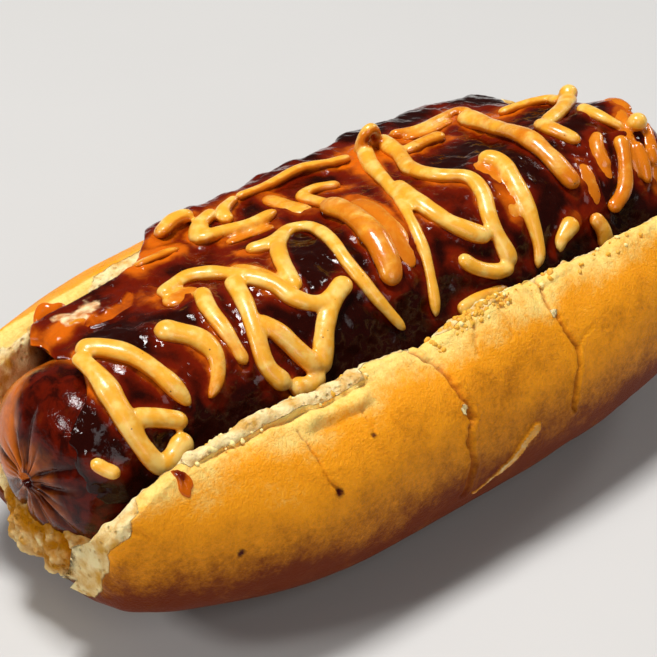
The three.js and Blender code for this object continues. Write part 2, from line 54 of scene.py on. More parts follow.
# ---- driving dimensions: those of the solids, but for a few that follow the finer skin ----
ROLL_HALF_WIDTH = 35.0
ROLL_HALF_LENGTH = 68.0     # scale by which places along the roll are given
ROLL_WAIST_Z = 19.0         # height of the widest place
ROLL_TOP_RISE = 23.5        # from the waist to the top that the uncut roll would have
ROLL_SQUARENESS = 2.3       # exponent of the cross-section
FLAT_DEPTH = 0.35           # the roll is pressed flat underneath by this much
NEAR_ENDS = (-66.5, 66.5)   # x of both ends of the near half
FAR_ENDS = (-61.0, 66.0)    # x of both ends of the far half
HINGE_ENDS = (-59.5, 65.0)  # x of both ends of the uncut floor between them
NEAR_BLUNT = (3.8, 4.5)     # exponents by which the edge of each half rounds off
FAR_BLUNT = (3.0, 3.6)
THICKNESS_BLUNT = 2.7       # exponent by which the wall gets thinner towards the ends
END_THICKNESS = 0.1         # share of the wall that is left at the ends
HINGE_END_THICKNESS = 0.25  # the same for the uncut floor
END_LIFT = 0.12             # share by which the underside rises at the ends
END_LIFT_TOP = ROLL_WAIST_Z + 2.0  # height below which it does
END_PINCH = 0.08            # share by which the ends get narrower
NEAR_CUT_ANGLE = 46.0       # angle from the top to the cut edges, in degrees
NEAR_CUT_ANGLE_LEFT = 41.0
FAR_CUT_ANGLE = 39.0
FAR_CUT_ANGLES = (27.0, 52.0)  # the far one at the left and at the right end
END_CUT_ANGLE = 74.0        # the angle of both where an end closes
CRUMB_WIDTH = 3.0           # thickness of the crumb edge that shows on each cut
CRUMB_RISE = 0.3            # its inner line lies higher by this on the near side, lower on the far
EDGE_BULGE = 0.7            # height by which that edge bulges
END_CRUMB = 2.5             # how far the cut edge stands off the channel at the ends
LEFT_END_CRUMB = -1.2       # the same for the near edge at the left end
END_EDGE_ANGLE = 104.0      # angle about the sausage to which the cut edges fall there
WEDGE_SHARE = 0.2           # share of the cut face that leans away from the sausage
WEDGE_CURVE = 1.4
STATION_CROWDING = 0.75     # share by which stations crowd towards the ends, as a sine does
STATION_MARGIN = 0.06       # leaves the tip of that sine out

SAUSAGE_RADIUS = 14.0
SAUSAGE_AXIS_Z = 26.0
SAUSAGE_ENDS = (-64.5, 66.5)
SAUSAGE_CAP = 9.0           # length of each rounded end
SAUSAGE_CAP_EXPONENT = 2.3
KNOT_RADIUS = 1.3
KNOT_DEPTH = 1.0
PLEATS = 15                 # short pleats gathered in each knot
CHANNEL_RADIUS = SAUSAGE_RADIUS + 0.8

SAUCE_THICKNESS = 1.5
SAUCE_ENDS = (-62.3, 61.5)  # x of both ends of the coat on top of the sausage
SAUCE_NEAR_EDGE = -23.5     # distance along the surface from the top line, near side
SAUCE_FAR_EDGE = 24.0       # the same at which the slanted ends stop slanting
CREST = 1.4                 # distance from the top line where sauce leaves the sausage
BRIDGE_SAG = 0.9            # sag of the sauce between the sausage and the far edge
RIM_SHARE = 0.8             # share of its thickness that lies on the far edge
RIM_BEND_RADIUS = 28.0      # radius by which the sauce bends down over that edge
RIM_BEND_MOST = 0.68        # and the angle at which it hangs straight, in radians
CAP_FOLLOW = 0.85           # share by which the sauce follows the sausage's rounded ends
CAP_TILT_DEPTH = 6.0        # depth on them at which its upper side has tilted fully
STRAND_RADIUS = 1.95
STRAND_LIFT = 0.55          # height of a strand's centre line over the sauce, as a share of its radius
STRAND_ROOT_Z = SAUSAGE_AXIS_Z - 12.0  # height of the line that strands are flattened towards

NOISE_CELLS = 64            # cells after which a noise field repeats
NOISE_SHIFT = 500.0         # cells that the origin, where fields of all widths meet, is moved away
POINTS_AT_ONCE = 4000       # block size for distances between many points


# ---- arithmetic on whole arrays ----

def mix(a, b, t):
    """Straight blend from a to b."""
    return a + (b - a) * t


def ramp(low, high, x):
    """Smoothstep: 0 at low, 1 at high, level at both."""
    t = np.clip((x - low) / (high - low), 0.0, 1.0)
    return t * t * (3.0 - 2.0 * t)


def rounded(u, exponent):
    """Superellipse profile: (1 - |u|^e)^(1/e)."""
    return np.clip(1.0 - np.abs(u) ** exponent, 0.0, 1.0) ** (1.0 / exponent)


def bump(x, centre, width):
    """Bell curve of height 1."""
    return np.exp(-((x - centre) / width) ** 2)


def noise(points, width, seed):
    """Smooth random field between -1 and 1: random numbers on a cubic grid with cells of that
    width, blended inside each cell with smoothstep weights."""
    table = np.random.default_rng(seed).uniform(-1.0, 1.0, 3 * (NOISE_CELLS,))
    q = points / width + NOISE_SHIFT
    cell = np.floor(q).astype(int)
    f = q - cell
    f = f * f * (3.0 - 2.0 * f)
    total = np.zeros(points.shape[:-1])
    for corner in np.ndindex(2, 2, 2):
        at = (cell + corner) % NOISE_CELLS
        weight = np.prod(np.where(corner, f, 1.0 - f), axis=-1)
        total += weight * table[at[..., 0], at[..., 1], at[..., 2]]
    return total


def rough(points, width, seed, layers=3):
    """Sum of noise fields, each half as wide and half as strong as the one before."""
    return sum(noise(points, width / 2 ** k, seed + k) / 2 ** k for k in range(layers))


def spaced(*runs):
    """Values from 0 to 1 whose density changes: each run is (where it ends, number of steps)."""
    values = [0.0]
    for end, steps in runs:
        values.extend(np.linspace(values[-1], end, steps + 1)[1:])
    return np.array(values)


def distance_to_path(x, y, path):
    """Least distance in a plane from each (x, y) to a chain of straight segments."""
    nearest = np.full(np.shape(x), np.inf)
    for (x0, y0), (x1, y1) in zip(path[:-1], path[1:]):
        length = (x1 - x0) ** 2 + (y1 - y0) ** 2
        t = np.clip(((x - x0) * (x1 - x0) + (y - y0) * (y1 - y0)) / length, 0.0, 1.0)
        nearest = np.minimum(nearest, np.hypot(x - x0 - t * (x1 - x0), y - y0 - t * (y1 - y0)))
    return nearest


def along_x(x):
    """Points on the x axis, for noise that runs along the roll alone."""
    return np.stack([x, 0.0 * x, 0.0 * x], axis=-1)


def circle_angles(steps):
    """That many angles round a circle."""
    return np.linspace(0.0, 2.0 * np.pi, steps, endpoint=False)


def walked_length(points):
    """Distance walked along a chain of points, at each of them."""
    steps = np.linalg.norm(np.diff(points, axis=0), axis=1)
    return np.concatenate([[0.0], np.cumsum(steps)])


def in_blocks(points, value):
    """A function of points worked out a block at a time, so that its tables stay small."""
    starts = range(0, len(points), POINTS_AT_ONCE)
    return np.concatenate([value(points[start:start + POINTS_AT_ONCE]) for start in starts])


def grid_normals(grid):
    """Unit normals of a grid of points from the cross product of its two directions."""
    along = np.gradient(grid, axis=0)
    across = np.gradient(grid, axis=1)
    normal = np.cross(along, across)
    return normal / np.maximum(np.linalg.norm(normal, axis=-1, keepdims=True), 1e-9)


# ---- filling meshes ----

def ring_quads(rows, columns):
    """Quads between rows of points, each row closed on itself."""
    i, j = np.meshgrid(np.arange(rows - 1), np.arange(columns), indexing="ij")
    k = (j + 1) % columns
    corners = (i * columns + j, i * columns + k, (i + 1) * columns + k, (i + 1) * columns + j)
    return np.stack([c.ravel() for c in corners], axis=-1)


def end_caps(rows, columns):
    """Polygons over the first and the last row, wound the same way as the quads between rows."""
    return [np.arange(columns)[::-1], (rows - 1) * columns + np.arange(columns)]


def signed_volume(points, quads, caps):
    """Six times the volume inside the quads and the end polygons, each cut into triangles from
    its first corner; negative if they face inwards."""
    a, b, c, d = (points[quads[:, k]] for k in range(4))
    total = np.einsum("ij,ij->", a, np.cross(b, c)) + np.einsum("ij,ij->", a, np.cross(c, d))
    for cap in caps:
        ring = points[cap]
        total += np.einsum("j,ij->", ring[0], np.cross(ring[1:-1], ring[2:]))
    return total


def fill_mesh(name, points, quads, caps=(), layers=None):
    """Mesh object from points in millimetres, quads, polygons that close ends, and attributes."""
    if signed_volume(points, quads, caps) < 0:
        quads = quads[:, ::-1]
        caps = [cap[::-1] for cap in caps]
    loops = np.concatenate([quads.ravel(), *caps]).astype(np.int32)
    sizes = np.array([4] * len(quads) + [len(cap) for cap in caps])
    starts = np.concatenate([[0], np.cumsum(sizes)[:-1]]).astype(np.int32)
    mesh = bpy.data.meshes.new(name)
    mesh.vertices.add(len(points))
    mesh.vertices.foreach_set("co", (points * MM).astype(np.float32).ravel())
    mesh.loops.add(len(loops))
    mesh.loops.foreach_set("vertex_index", loops)
    mesh.polygons.add(len(sizes))
    mesh.polygons.foreach_set("loop_start", starts)
    mesh.update(calc_edges=True)
    mesh.validate()
    mesh.shade_smooth()
    add_layers(mesh, layers or {})
    return add_object(name, mesh)


def add_object(name, data):
    """Object that shows a mesh, a light or a camera, linked to the scene."""
    item = bpy.data.objects.new(name, data)
    bpy.context.scene.collection.objects.link(item)
    return item


def add_layers(mesh, layers):
    """Numbers at the vertices, for the shaders; a layer that a mesh lacks reads as 0 there."""
    for key, values in layers.items():
        layer = mesh.attributes.new(key, "FLOAT", "POINT")
        layer.data.foreach_set("value", np.asarray(values, dtype=np.float32).ravel())


def finish_piece(piece, material, nodes):
    """Gives a piece its material, hangs it on the root body and hides the parts of the frame that it
    replaces.
    """
    piece.data.materials.clear()
    piece.data.materials.append(material)
    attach(piece, "root")
    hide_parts(*nodes)


# ---- shader arithmetic ----

class Value:
    """A socket with a number; an expression on it adds Math nodes to its shader."""

    def __init__(self, shader, socket):
        self.shader = shader
        self.socket = socket

    def math(self, operation, *values):
        return self.shader.math(operation, *values)

    def __add__(self, other):
        return self.math("ADD", self, other)

    def __sub__(self, other):
        return self.math("SUBTRACT", self, other)

    def __rsub__(self, other):
        return self.math("SUBTRACT", other, self)

    def __mul__(self, other):
        return self.math("MULTIPLY", self, other)

    __radd__ = __add__
    __rmul__ = __mul__


class Shader:
    """One material with a Principled surface; every method adds nodes and hands back a socket."""

    def __init__(self, name):
        self.material = bpy.data.materials.new(name)
        self.material.use_nodes = True
        self.tree = self.material.node_tree
        self.tree.nodes.clear()
        self.place = self.node("ShaderNodeTexCoord").outputs["Object"]

    def node(self, kind, settings=None, inputs=None):
        """Any node: its settings first, then the values or links of its sockets."""
        node = self.tree.nodes.new(kind)
        for key, value in (settings or {}).items():
            setattr(node, key, value)
        for key, value in (inputs or {}).items():
            source = value.socket if isinstance(value, Value) else value
            if isinstance(source, bpy.types.NodeSocket):
                self.tree.links.new(source, node.inputs[key])
            else:
                node.inputs[key].default_value = source
        return node

    def math(self, operation, *values):
        settings = {"operation": operation}
        node = self.node("ShaderNodeMath", settings, dict(enumerate(values)))
        return Value(self, node.outputs[0])

    def attribute(self, name):
        """Number that the mesh carries at its vertices."""
        node = self.node("ShaderNodeAttribute", {"attribute_name": name})
        return Value(self, node.outputs["Fac"])

    def noise(self, width_mm, detail=3.0, roughness=0.5, distortion=0.0):
        """Noise in space whose features are about that wide."""
        inputs = {"Vector": self.place, "Scale": 1.0 / (width_mm * MM), "Detail": detail,
                  "Roughness": roughness, "Distortion": distortion}
        return Value(self, self.node("ShaderNodeTexNoise", None, inputs).outputs["Fac"])

    def cells(self, width_mm):
        """Distance to the nearest of many points scattered about that far apart."""
        inputs = {"Vector": self.place, "Scale": 1.0 / (width_mm * MM)}
        node = self.node("ShaderNodeTexVoronoi", None, inputs)
        return Value(self, node.outputs["Distance"])

    def step(self, value, low, high):
        """Smooth step of a value between two limits."""
        inputs = {"Value": value, "From Min": low, "From Max": high}
        node = self.node("ShaderNodeMapRange", {"interpolation_type": "SMOOTHSTEP"}, inputs)
        return Value(self, node.outputs["Result"])

    def blend(self, factor, a, b):
        """Mix of two colours, each a socket or a property's colour."""
        settings = {"data_type": "RGBA", "clamp_factor": True}
        inputs = {0: factor, 6: self.colour(a), 7: self.colour(b)}
        return self.node("ShaderNodeMix", settings, inputs).outputs[2]

    @staticmethod
    def colour(value):
        return value if isinstance(value, bpy.types.NodeSocket) else (*value, 1.0)

    def relief(self, height, depth_mm, strength=1.0, below=None):
        """Bump from a height of 0 to 1 that stands for that many millimetres."""
        inputs = {"Height": height, "Distance": depth_mm * MM, "Strength": strength}
        if below is not None:
            inputs["Normal"] = below
        return self.node("ShaderNodeBump", None, inputs).outputs["Normal"]

    def surface(self, **inputs):
        """Principled surface; the keywords are its sockets, with _ for spaces."""
        named = {key.replace("_", " "): value for key, value in inputs.items()}
        principled = self.node("ShaderNodeBsdfPrincipled", None, named)
        self.node("ShaderNodeOutputMaterial", None, {"Surface": principled.outputs[0]})
        return self.material


def linear(red, green, blue):
    """Linear colour from the 0 to 255 numbers of a colour chart."""
    return tuple(((c / 255 + 0.055) / 1.055) ** 2.4 if c > 10 else c / 255 / 12.92
                 for c in (red, green, blue))


def size_property(name, text, default, least, most):
    """Size in millimetres that a user can change."""
    return FloatProperty(name=name, description=text + ", in millimetres", default=default,
                         min=least, max=most)


def count_property(name, text, default, least, most):
    """Number of like things that a user can change."""
    return IntProperty(name=name, description=text, default=default, min=least, max=most)


def power_property(name, text, default):
    """Power of a light that a user can change."""
    return FloatProperty(name=name, description=text, default=default, min=0.0, unit="POWER")


def colour_property(name, text, red, green, blue):
    """Colour that a user can change."""
    return FloatVectorProperty(name=name, description=text, default=linear(red, green, blue),
                               subtype="COLOR", size=3, min=0.0, max=1.0)


# ---- shape of the roll ----

def near_cut(x):
    """Angle from the top to the near cut edge, in degrees: smaller towards the left end."""
    return mix(NEAR_CUT_ANGLE, NEAR_CUT_ANGLE_LEFT, ramp(10.0, -60.0, x))


def far_cut(x):
    """Angle from the top to the far cut edge, in degrees: smaller left, larger right."""
    left = (FAR_CUT_ANGLES[0] - FAR_CUT_ANGLE) * ramp(-5.0, -60.0, x)
    right = (FAR_CUT_ANGLES[1] - FAR_CUT_ANGLE) * ramp(0.0, 52.0, x)
    return FAR_CUT_ANGLE + left + right


def crust_point(degrees):
    """y and z on the superellipse of the uncut crust, by the angle from the top."""
    s, c = np.sin(np.radians(degrees)), np.cos(np.radians(degrees))
    n = ROLL_SQUARENESS
    r = (np.abs(s) ** n + np.abs(c) ** n) ** (-1.0 / n)
    height = np.where(c > 0.0, ROLL_TOP_RISE, ROLL_WAIST_Z + FLAT_DEPTH)
    return ROLL_HALF_WIDTH * s * r, ROLL_WAIST_Z + height * c * r


# Rises and dips of the near edge where crust was pulled up or away: x, half width and height.
NEAR_STEPS = [(7.0, 9.0, 1.3), (-8.0, 5.0, -1.2), (-30.0, 7.0, -0.9)]


def near_tear(x, v):
    """Height of the near edge's rises and dips, bell curves along x, and of its lumps, both
    fading out with the distance down the crust or the face."""
    lumps = 0.45 * rough(along_x(x), 3.6, 201, 4)
    steps = sum(height * bump(x, centre, width) for centre, width, height in NEAR_STEPS)
    return steps * ramp(0.1, 0.0, v) + lumps * ramp(0.03, 0.0, v)


def roll_walls(u, v):
    """Points of crust and cut face for u along the roll (-1 to 1) and v from the near edge round
    the bottom (0.5) to the far edge: the crust is the superellipse between the two cut angles,
    the face a circle about the sausage that leans away near the edges, and towards the ends
    the crust closes on the face by a superellipse in u."""
    u, v = np.broadcast_arrays(u, v)
    left = u < 0.0
    side = ramp(0.3, 0.7, v)
    blunt = np.where(left, mix(NEAR_BLUNT[0], FAR_BLUNT[0], side),
                     mix(NEAR_BLUNT[1], FAR_BLUNT[1], side))
    rounding = 1.0 - rounded(u, blunt)
    reach = [mix(mix(near, hinge, ramp(0.2, 0.4, v)), far, ramp(0.66, 0.84, v))
             for near, hinge, far in zip(NEAR_ENDS, HINGE_ENDS, FAR_ENDS)]
    x = np.abs(u) * np.where(left, reach[0], reach[1])
    place = u * ROLL_HALF_LENGTH

    near = mix(near_cut(place), END_CUT_ANGLE, rounding)
    far = mix(far_cut(place), END_CUT_ANGLE, rounding)
    crust_y, crust_z = crust_point(mix(-near, far - 360.0, v))
    end = ramp(0.45, 1.0, np.abs(u))
    raised = END_LIFT_TOP + (crust_z - END_LIFT_TOP) * (1.0 - END_LIFT * end)
    crust_z = np.where(crust_z < END_LIFT_TOP, raised, crust_z)
    crust_y = crust_y * (1.0 - END_PINCH * end)

    near_y, near_z = crust_point(-near_cut(place))
    far_y, far_z = crust_point(far_cut(place))
    near_r, near_angle = about_sausage(near_y + CRUMB_WIDTH, near_z + CRUMB_RISE)
    far_r, far_angle = about_sausage(far_y - CRUMB_WIDTH, far_z - CRUMB_RISE)
    first = mix(near_angle, np.radians(END_EDGE_ANGLE), rounding)
    last = 2.0 * np.pi - mix(far_angle, np.radians(END_EDGE_ANGLE), rounding)
    open_near = np.clip(1.0 - v / WEDGE_SHARE, 0.0, 1.0) ** WEDGE_CURVE
    open_far = np.clip(1.0 - (1.0 - v) / WEDGE_SHARE, 0.0, 1.0) ** WEDGE_CURVE
    end_crumb = np.where(left, LEFT_END_CRUMB, END_CRUMB)
    r = (CHANNEL_RADIUS + open_near * mix(near_r - CHANNEL_RADIUS, end_crumb, rounding)
         + open_far * mix(far_r - CHANNEL_RADIUS, END_CRUMB, rounding))
    angle = mix(first, last, v)
    face_y, face_z = -r * np.sin(angle), SAUSAGE_AXIS_Z + r * np.cos(angle)

    hinge = ramp(0.25, 0.42, v) * ramp(0.8, 0.62, v)
    least = mix(END_THICKNESS, HINGE_END_THICKNESS, hinge)
    share = mix(least, 1.0, rounded(u, THICKNESS_BLUNT))
    torn = near_tear(x, v) * (1.0 - rounding)
    crust = np.stack([x, mix(face_y, crust_y, share), mix(face_z, crust_z, share) + torn], -1)
    crust[..., 2] = np.maximum(crust[..., 2], 0.0)
    return crust, np.stack([x, face_y, face_z + torn], -1)


def about_sausage(y, z):
    """Radius and angle from the top about the sausage's axis."""
    return np.hypot(y, z - SAUSAGE_AXIS_Z), np.arctan2(np.abs(y), z - SAUSAGE_AXIS_Z)


# ---- surface on which sauce and mustard lie ----

def far_rim(x):
    """y and z of the far edge of the crust."""
    edge = roll_walls(np.clip(x / ROLL_HALF_LENGTH, -0.93, 0.93), np.ones_like(x))[0]
    return edge[..., 1], edge[..., 2]


def topping_surface(x, a):
    """Points and outward directions at x and at distance a over the top, minus towards the near
    side: a circle about the sausage up to the crest, then a straight bridge with a sag to the
    far rim, then a bend down over it."""
    x, a = np.broadcast_arrays(np.asarray(x, float), np.asarray(a, float))
    r = SAUSAGE_RADIUS + SAUCE_THICKNESS
    round_y, round_z = r * np.sin(a / r), SAUSAGE_AXIS_Z + r * np.cos(a / r)
    crest_y, crest_z = r * np.sin(CREST / r), SAUSAGE_AXIS_Z + r * np.cos(CREST / r)
    rim_y, rim_z = far_rim(x)
    rim_z = rim_z + SAUCE_THICKNESS * RIM_SHARE
    span = np.hypot(rim_y - crest_y, rim_z - crest_z)
    step_y, step_z = (rim_y - crest_y) / span, (rim_z - crest_z) / span
    run = a - CREST
    sag = BRIDGE_SAG * np.sin(np.pi * np.clip(run / span, 0.0, 1.0))
    over = np.maximum(run - span, 0.0)
    slope = np.arctan2(step_z, step_y) - np.minimum(over / RIM_BEND_RADIUS, RIM_BEND_MOST)
    zones = [run > span, a > CREST]
    y = np.select(zones, [rim_y + np.cos(slope) * over, crest_y + step_y * run], round_y)
    z = np.select(zones, [rim_z + np.sin(slope) * over, crest_z + step_z * run - sag], round_z)
    out_y = np.select(zones, [-np.sin(slope), -step_z], np.sin(a / r))
    out_z = np.select(zones, [np.cos(slope), step_y], np.cos(a / r))
    return np.stack([x, y, z], -1), np.stack([0.0 * x, out_y, out_z], -1)


def coat_surface(x, a):
    """The topping surface, drawn in towards the axis where the sausage's caps fall away, with
    outward directions that tilt towards the ends there."""
    points, out = topping_surface(x, a)
    stations, radii = sausage_profile()
    fall = SAUSAGE_RADIUS - np.interp(points[..., 0], stations, radii)
    inward = np.clip(fall, 0.0, SAUSAGE_CAP) * CAP_FOLLOW
    axis = points * [0.0, 1.0, 1.0] - [0.0, 0.0, SAUSAGE_AXIS_Z]
    axis /= np.linalg.norm(axis, axis=-1, keepdims=True)
    tilt = np.sign(points[..., 0]) * np.clip(inward / CAP_TILT_DEPTH, 0.0, 1.0)
    out = out + tilt[..., None] * [1.0, 0.0, 0.0]
    return points - axis * inward[..., None], out / np.linalg.norm(out, axis=-1, keepdims=True)


# ---- roll ----

# Cracks of the crust: places (x, distance down from the near edge), half width and depth. A depth
# below 0 makes a ridge.
CRACKS = [
    {"path": [(-11.4, -3), (-10.6, 0.2), (-9.2, 0.9), (-8.5, 3.4), (-8, 6.4), (-7.5, 9.5), (-7.1, 11.5),
              (-8.3, 12.6), (-8.7, 14.2), (-8.3, 19), (-9.6, 24.2)], "width": 0.45, "depth": 0.75},
    {"path": [(-7.1, 11.4), (-8, 10.1), (-8.6, 9)], "width": 0.4, "depth": 0.5},
    {"path": [(14.8, -3), (14.2, 1.3), (14, 3.4), (15.2, 8), (16, 10.7), (15.7, 12.7), (14, 16.8),
              (13.4, 20)], "width": 0.4, "depth": 0.7},
    {"path": [(16, 10.7), (18.2, 9.3), (20.5, 8.6)], "width": 0.25, "depth": 0.2},
    {"path": [(-35.6, 2.5), (-35.4, 5.3), (-35.3, 6.7), (-35.2, 8.3), (-34.7, 10.6), (-33.7, 13.1)],
     "width": 0.28, "depth": 0.4},
    {"path": [(-24.6, 3.6), (-24.8, 5.8), (-25.1, 7.3)], "width": 0.25, "depth": 0.3},
    {"path": [(-63.8, 1.2), (-62.7, 3), (-61.8, 4.6)], "width": 0.25, "depth": 0.2},
    {"path": [(-31, 9.5), (-33.6, 9.8)], "width": 0.3, "depth": -0.12},
    {"path": [(5.2, -1), (5.4, 2.6), (4.6, 5)], "width": 0.3, "depth": 0.25},
    {"path": [(0.2, -1), (-0.8, 1.6), (-2.2, 4.2)], "width": 0.3, "depth": 0.3},
]
# Dark spots: place and radius.
SPOTS = [((-49.8, 15.4), 0.75), ((-33.7, 13.2), 0.9), ((-25.1, 7.5), 0.5)]
# Bare pale spots where a crumb of crust came off.
PALE_SPOTS = [((-8.3, 9.3), 0.95), ((14.0, 3.9), 0.85)]

# Where the near edge is torn: start and end along x of the strip and of the second ridge beside it.
STRIP = (-54.5, -20.5)
SECOND_RIDGE = (-35.5, -21.5)

# Torn crumb that stands out of the hinge at the left end: a superellipsoid with that exponent
# on its sines, its sides raised by the droop.
HINGE_CRUMB = {"centre": (-59.4, 0.2, 15.0), "half": (4.6, 9.6, 5.6), "exponent": 0.75, "droop": 1.8}

# Flake of crust that has lifted low on the near side: places as for the cracks, half width, height.
FLAKE = {"path": [(-7.0, 25.4), (-2.9, 24.7), (1.0, 23.3), (5.0, 20.3)], "width": 1.25, "height": 0.35}

# Columns of a ring of the roll: shares of the way down the crust, over the far edge, back up the
# cut face and over the near edge, closer together where there is more relief.
CRUST_V = spaced((0.06, 26), (0.3, 80), (0.5, 20), (0.9, 26), (1.0, 12))
FACE_V = spaced((0.12, 16), (0.3, 14), (0.88, 20), (1.0, 8))[::-1]
FAR_EDGE_W = np.linspace(0.0, 1.0, 8)[1:-1]
NEAR_EDGE_W = np.linspace(0.0, 1.0, 16)[1:-1]
CRUST_COLUMNS = slice(0, CRUST_V.size)
FAR_COLUMNS = slice(CRUST_V.size, CRUST_V.size + FAR_EDGE_W.size)
FACE_COLUMNS = slice(FAR_COLUMNS.stop, FAR_COLUMNS.stop + FACE_V.size)
NEAR_COLUMNS = slice(FACE_COLUMNS.stop, FACE_COLUMNS.stop + NEAR_EDGE_W.size)


def between(x, start, end, soft=2.5):
    """1 from start to end, 0 outside, with soft edges."""
    return ramp(start, start + soft, x) * ramp(end, end - soft, x)


def crumb_strip(x):
    """1 where the near edge shows a wide strip of torn crumb, 0 where crust reaches the edge."""
    wide = between(x, *STRIP)
    bits = 0.45 * ramp(-7.0, -5.0, x) * ramp(7.5, 5.0, x)
    return np.maximum(np.maximum(wide, bits), ramp(-60.5, -63.0, x))


class RollSettings(bpy.types.PropertyGroup):
    """Sizes and colours of the roll."""
    stations: count_property("Stations", "Rows of points along the roll", 400, 60, 410)
    dent_height: size_property("Dent height", "Broad unevenness of the crust", 0.3, 0.0, 1.0)
    crumb_height: size_property("Crumb height", "Roughness of torn crumb", 0.5, 0.0, 1.5)
    pale: colour_property("Pale crust", "Crust near the cut edges", 255, 220, 126)
    gold: colour_property("Golden crust", "Crust of the sides", 252, 160, 22)
    # The brown crust also stands in for painted shade low on the roll.
    brown: colour_property("Brown crust", "Most baked crust", 112, 40, 0)
    crumb: colour_property("Crumb", "Torn inside of the roll", 255, 232, 172)
    # This colour tints random patches of crumb and is also the painted shade in its pores.
    crumb_shade: colour_property("Crumb pores", "Pores and moist crumb", 216, 156, 52)
    # Colour of the painted shade at the bottom of the cracks and round the lifted flake.
    shaded_crack: colour_property("Cracks", "Bottom of cracks", 172, 88, 20)
    # Also the painted shade in the hollows of the hinge's crumb.
    moist_and_shade: colour_property("Moist crumb", "Yellow dough inside the hinge", 186, 118, 0)
    # Also the painted shade on the cut face between sausage and roll.
    soaked_and_shade: colour_property("Soaked crumb", "Inside where sauce has soaked in", 62, 12, 4)
    spot: colour_property("Dark spots", "Burnt spots of the crust", 70, 12, 6)


class HOTDOG_OT_roll(bpy.types.Operator):
    """Build the split roll with its torn edges and cracked crust"""
    bl_idname = "hotdog.roll"
    bl_label = "Roll"

    def execute(self, context):
        settings = context.scene.hotdog_roll
        material = crust_material(settings)
        finish_piece(fill_mesh("roll", *roll_mesh(settings)), material, ["bun"])
        finish_piece(fill_mesh("hinge_crumb", *hinge_mesh()), material, ["bun"])
        return {"FINISHED"}


def roll_mesh(settings):
    """Closed body of the roll. Each ring runs along the crust from the near to the far edge,
    over the far edge, back along the cut face and over the near edge. Noise along the normals
    makes dents in the crust and crags in the crumb, with the cracks and ridges on top."""
    t = np.linspace(-1.0, 1.0, settings.stations)[:, None]
    bend = 0.5 * np.pi * (1.0 - 2.0 * STATION_MARGIN)
    u = mix(t, np.sin(bend * t) / np.sin(bend), STATION_CROWDING)
    crust = roll_walls(u, CRUST_V)[0]
    face = roll_walls(u, FACE_V)[1]
    far_edge = edge_points(crust[:, -1], face[:, 0], FAR_EDGE_W)
    near_edge = edge_points(face[:, -1], crust[:, 0], NEAR_EDGE_W)
    grid = np.concatenate([crust, far_edge, face, near_edge], axis=1)
    rows, columns = grid.shape[:2]
    x = grid[..., 0]
    across, far = edge_distances(crust, (rows, columns))
    ragged = 0.55 * rough(grid, 2.6, 11)
    wobble = 0.4 * rough(grid, 1.6, 61, 3)
    on_crust = ring_row(CRUST_V < 0.45, 1.0)
    hinge_side = ring_row(ramp(0.32, 0.4, CRUST_V) * ramp(0.66, 0.58, CRUST_V), 0.0)

    crumb = torn_crumb(x, u, across, far, ragged, hinge_side)
    lift = crust_relief(grid, across, crumb, settings)
    cracks, shaded_crack = crack_relief(x + wobble, across, on_crust)
    bare = on_crust * round_spots(x, across, PALE_SPOTS, 0.7)
    flake_width = FLAKE["width"] * mix(0.35, 1.0, ramp(-7.0, 3.0, x)) * (1.0 + 0.35 * ragged)
    flake = distance_to_path(x, across + wobble, FLAKE["path"]) / flake_width + 9.0 * (1.0 - on_crust)
    lift += cracks + 0.3 * bare
    lift += 0.35 * bump(x, -4.5, 3.2) * ramp(14.0, 2.0, across) * on_crust * (x > -9.5)
    lift += FLAKE["height"] * ramp(1.0, 0.8, flake) * mix(0.5, 1.0, ramp(-7.0, 4.0, x))
    # A ring of painted shadow round the flake's edge joins the painted shade of the cracks.
    shaded_crack = np.maximum(shaded_crack, 0.8 * bump(flake, 1.2, 0.2))
    crumb = np.maximum(np.maximum(crumb, bare), 0.48 * ramp(1.0, 0.7, flake))

    rest = ramp(0.0, 0.8, grid[..., 2]) * (1.0 - 0.7 * ramp(0.965, 0.985, np.abs(u)))
    grid = grid + ring_normals(grid) * (lift * rest)[..., None]
    grid[..., 2] = np.maximum(grid[..., 2], 0.0)
    end = ramp(0.93, 1.0, np.abs(u)) * mix(0.5, 1.0, hinge_side)
    grid[..., 0] += 1.1 * end * rough(grid * (0.2, 1.0, 1.0), 4.0, 71)

    # Sauce soaked into the cut face, and painted shade between sausage and roll.
    wet_and_shade = np.zeros((rows, columns))
    wet_and_shade[:, FACE_COLUMNS] = soaked_and_shade_share(x[:, FACE_COLUMNS], grid[:, FACE_COLUMNS])
    bake_and_shade = bake_and_shade_level(grid, across, far) * (1.0 - 0.5 * ramp(1.0, 0.7, flake))
    spot = on_crust * round_spots(x, across, SPOTS, 0.5)
    layers = {"crumb": crumb, "shaded_crack": shaded_crack, "bake_and_shade": bake_and_shade, "spot": spot, "wet_and_shade": wet_and_shade}
    return grid.reshape(-1, 3), ring_quads(rows, columns), end_caps(rows, columns), layers


def ring_row(on_crust, on_near_edge):
    """Values for one ring of the roll, 0 on the far edge and the cut face."""
    row = np.zeros(NEAR_COLUMNS.stop)
    row[CRUST_COLUMNS] = on_crust
    row[NEAR_COLUMNS] = on_near_edge
    return row


def edge_distances(crust, shape):
    """Distance across the near and across the far edge at every point of the rings: positive
    down the crust, negative over the torn edge."""
    steps = np.linalg.norm(np.diff(crust, axis=1), axis=2)
    down = np.concatenate([np.zeros((len(crust), 1)), np.cumsum(steps, axis=1)], axis=1)
    across = np.full(shape, -CRUMB_WIDTH)
    across[:, CRUST_COLUMNS] = down
    across[:, NEAR_COLUMNS] = -CRUMB_WIDTH * (1.0 - NEAR_EDGE_W)
    far = np.full(shape, -CRUMB_WIDTH)
    far[:, CRUST_COLUMNS] = down[:, -1:] - down
    far[:, FAR_COLUMNS] = -CRUMB_WIDTH * FAR_EDGE_W
    return across, far


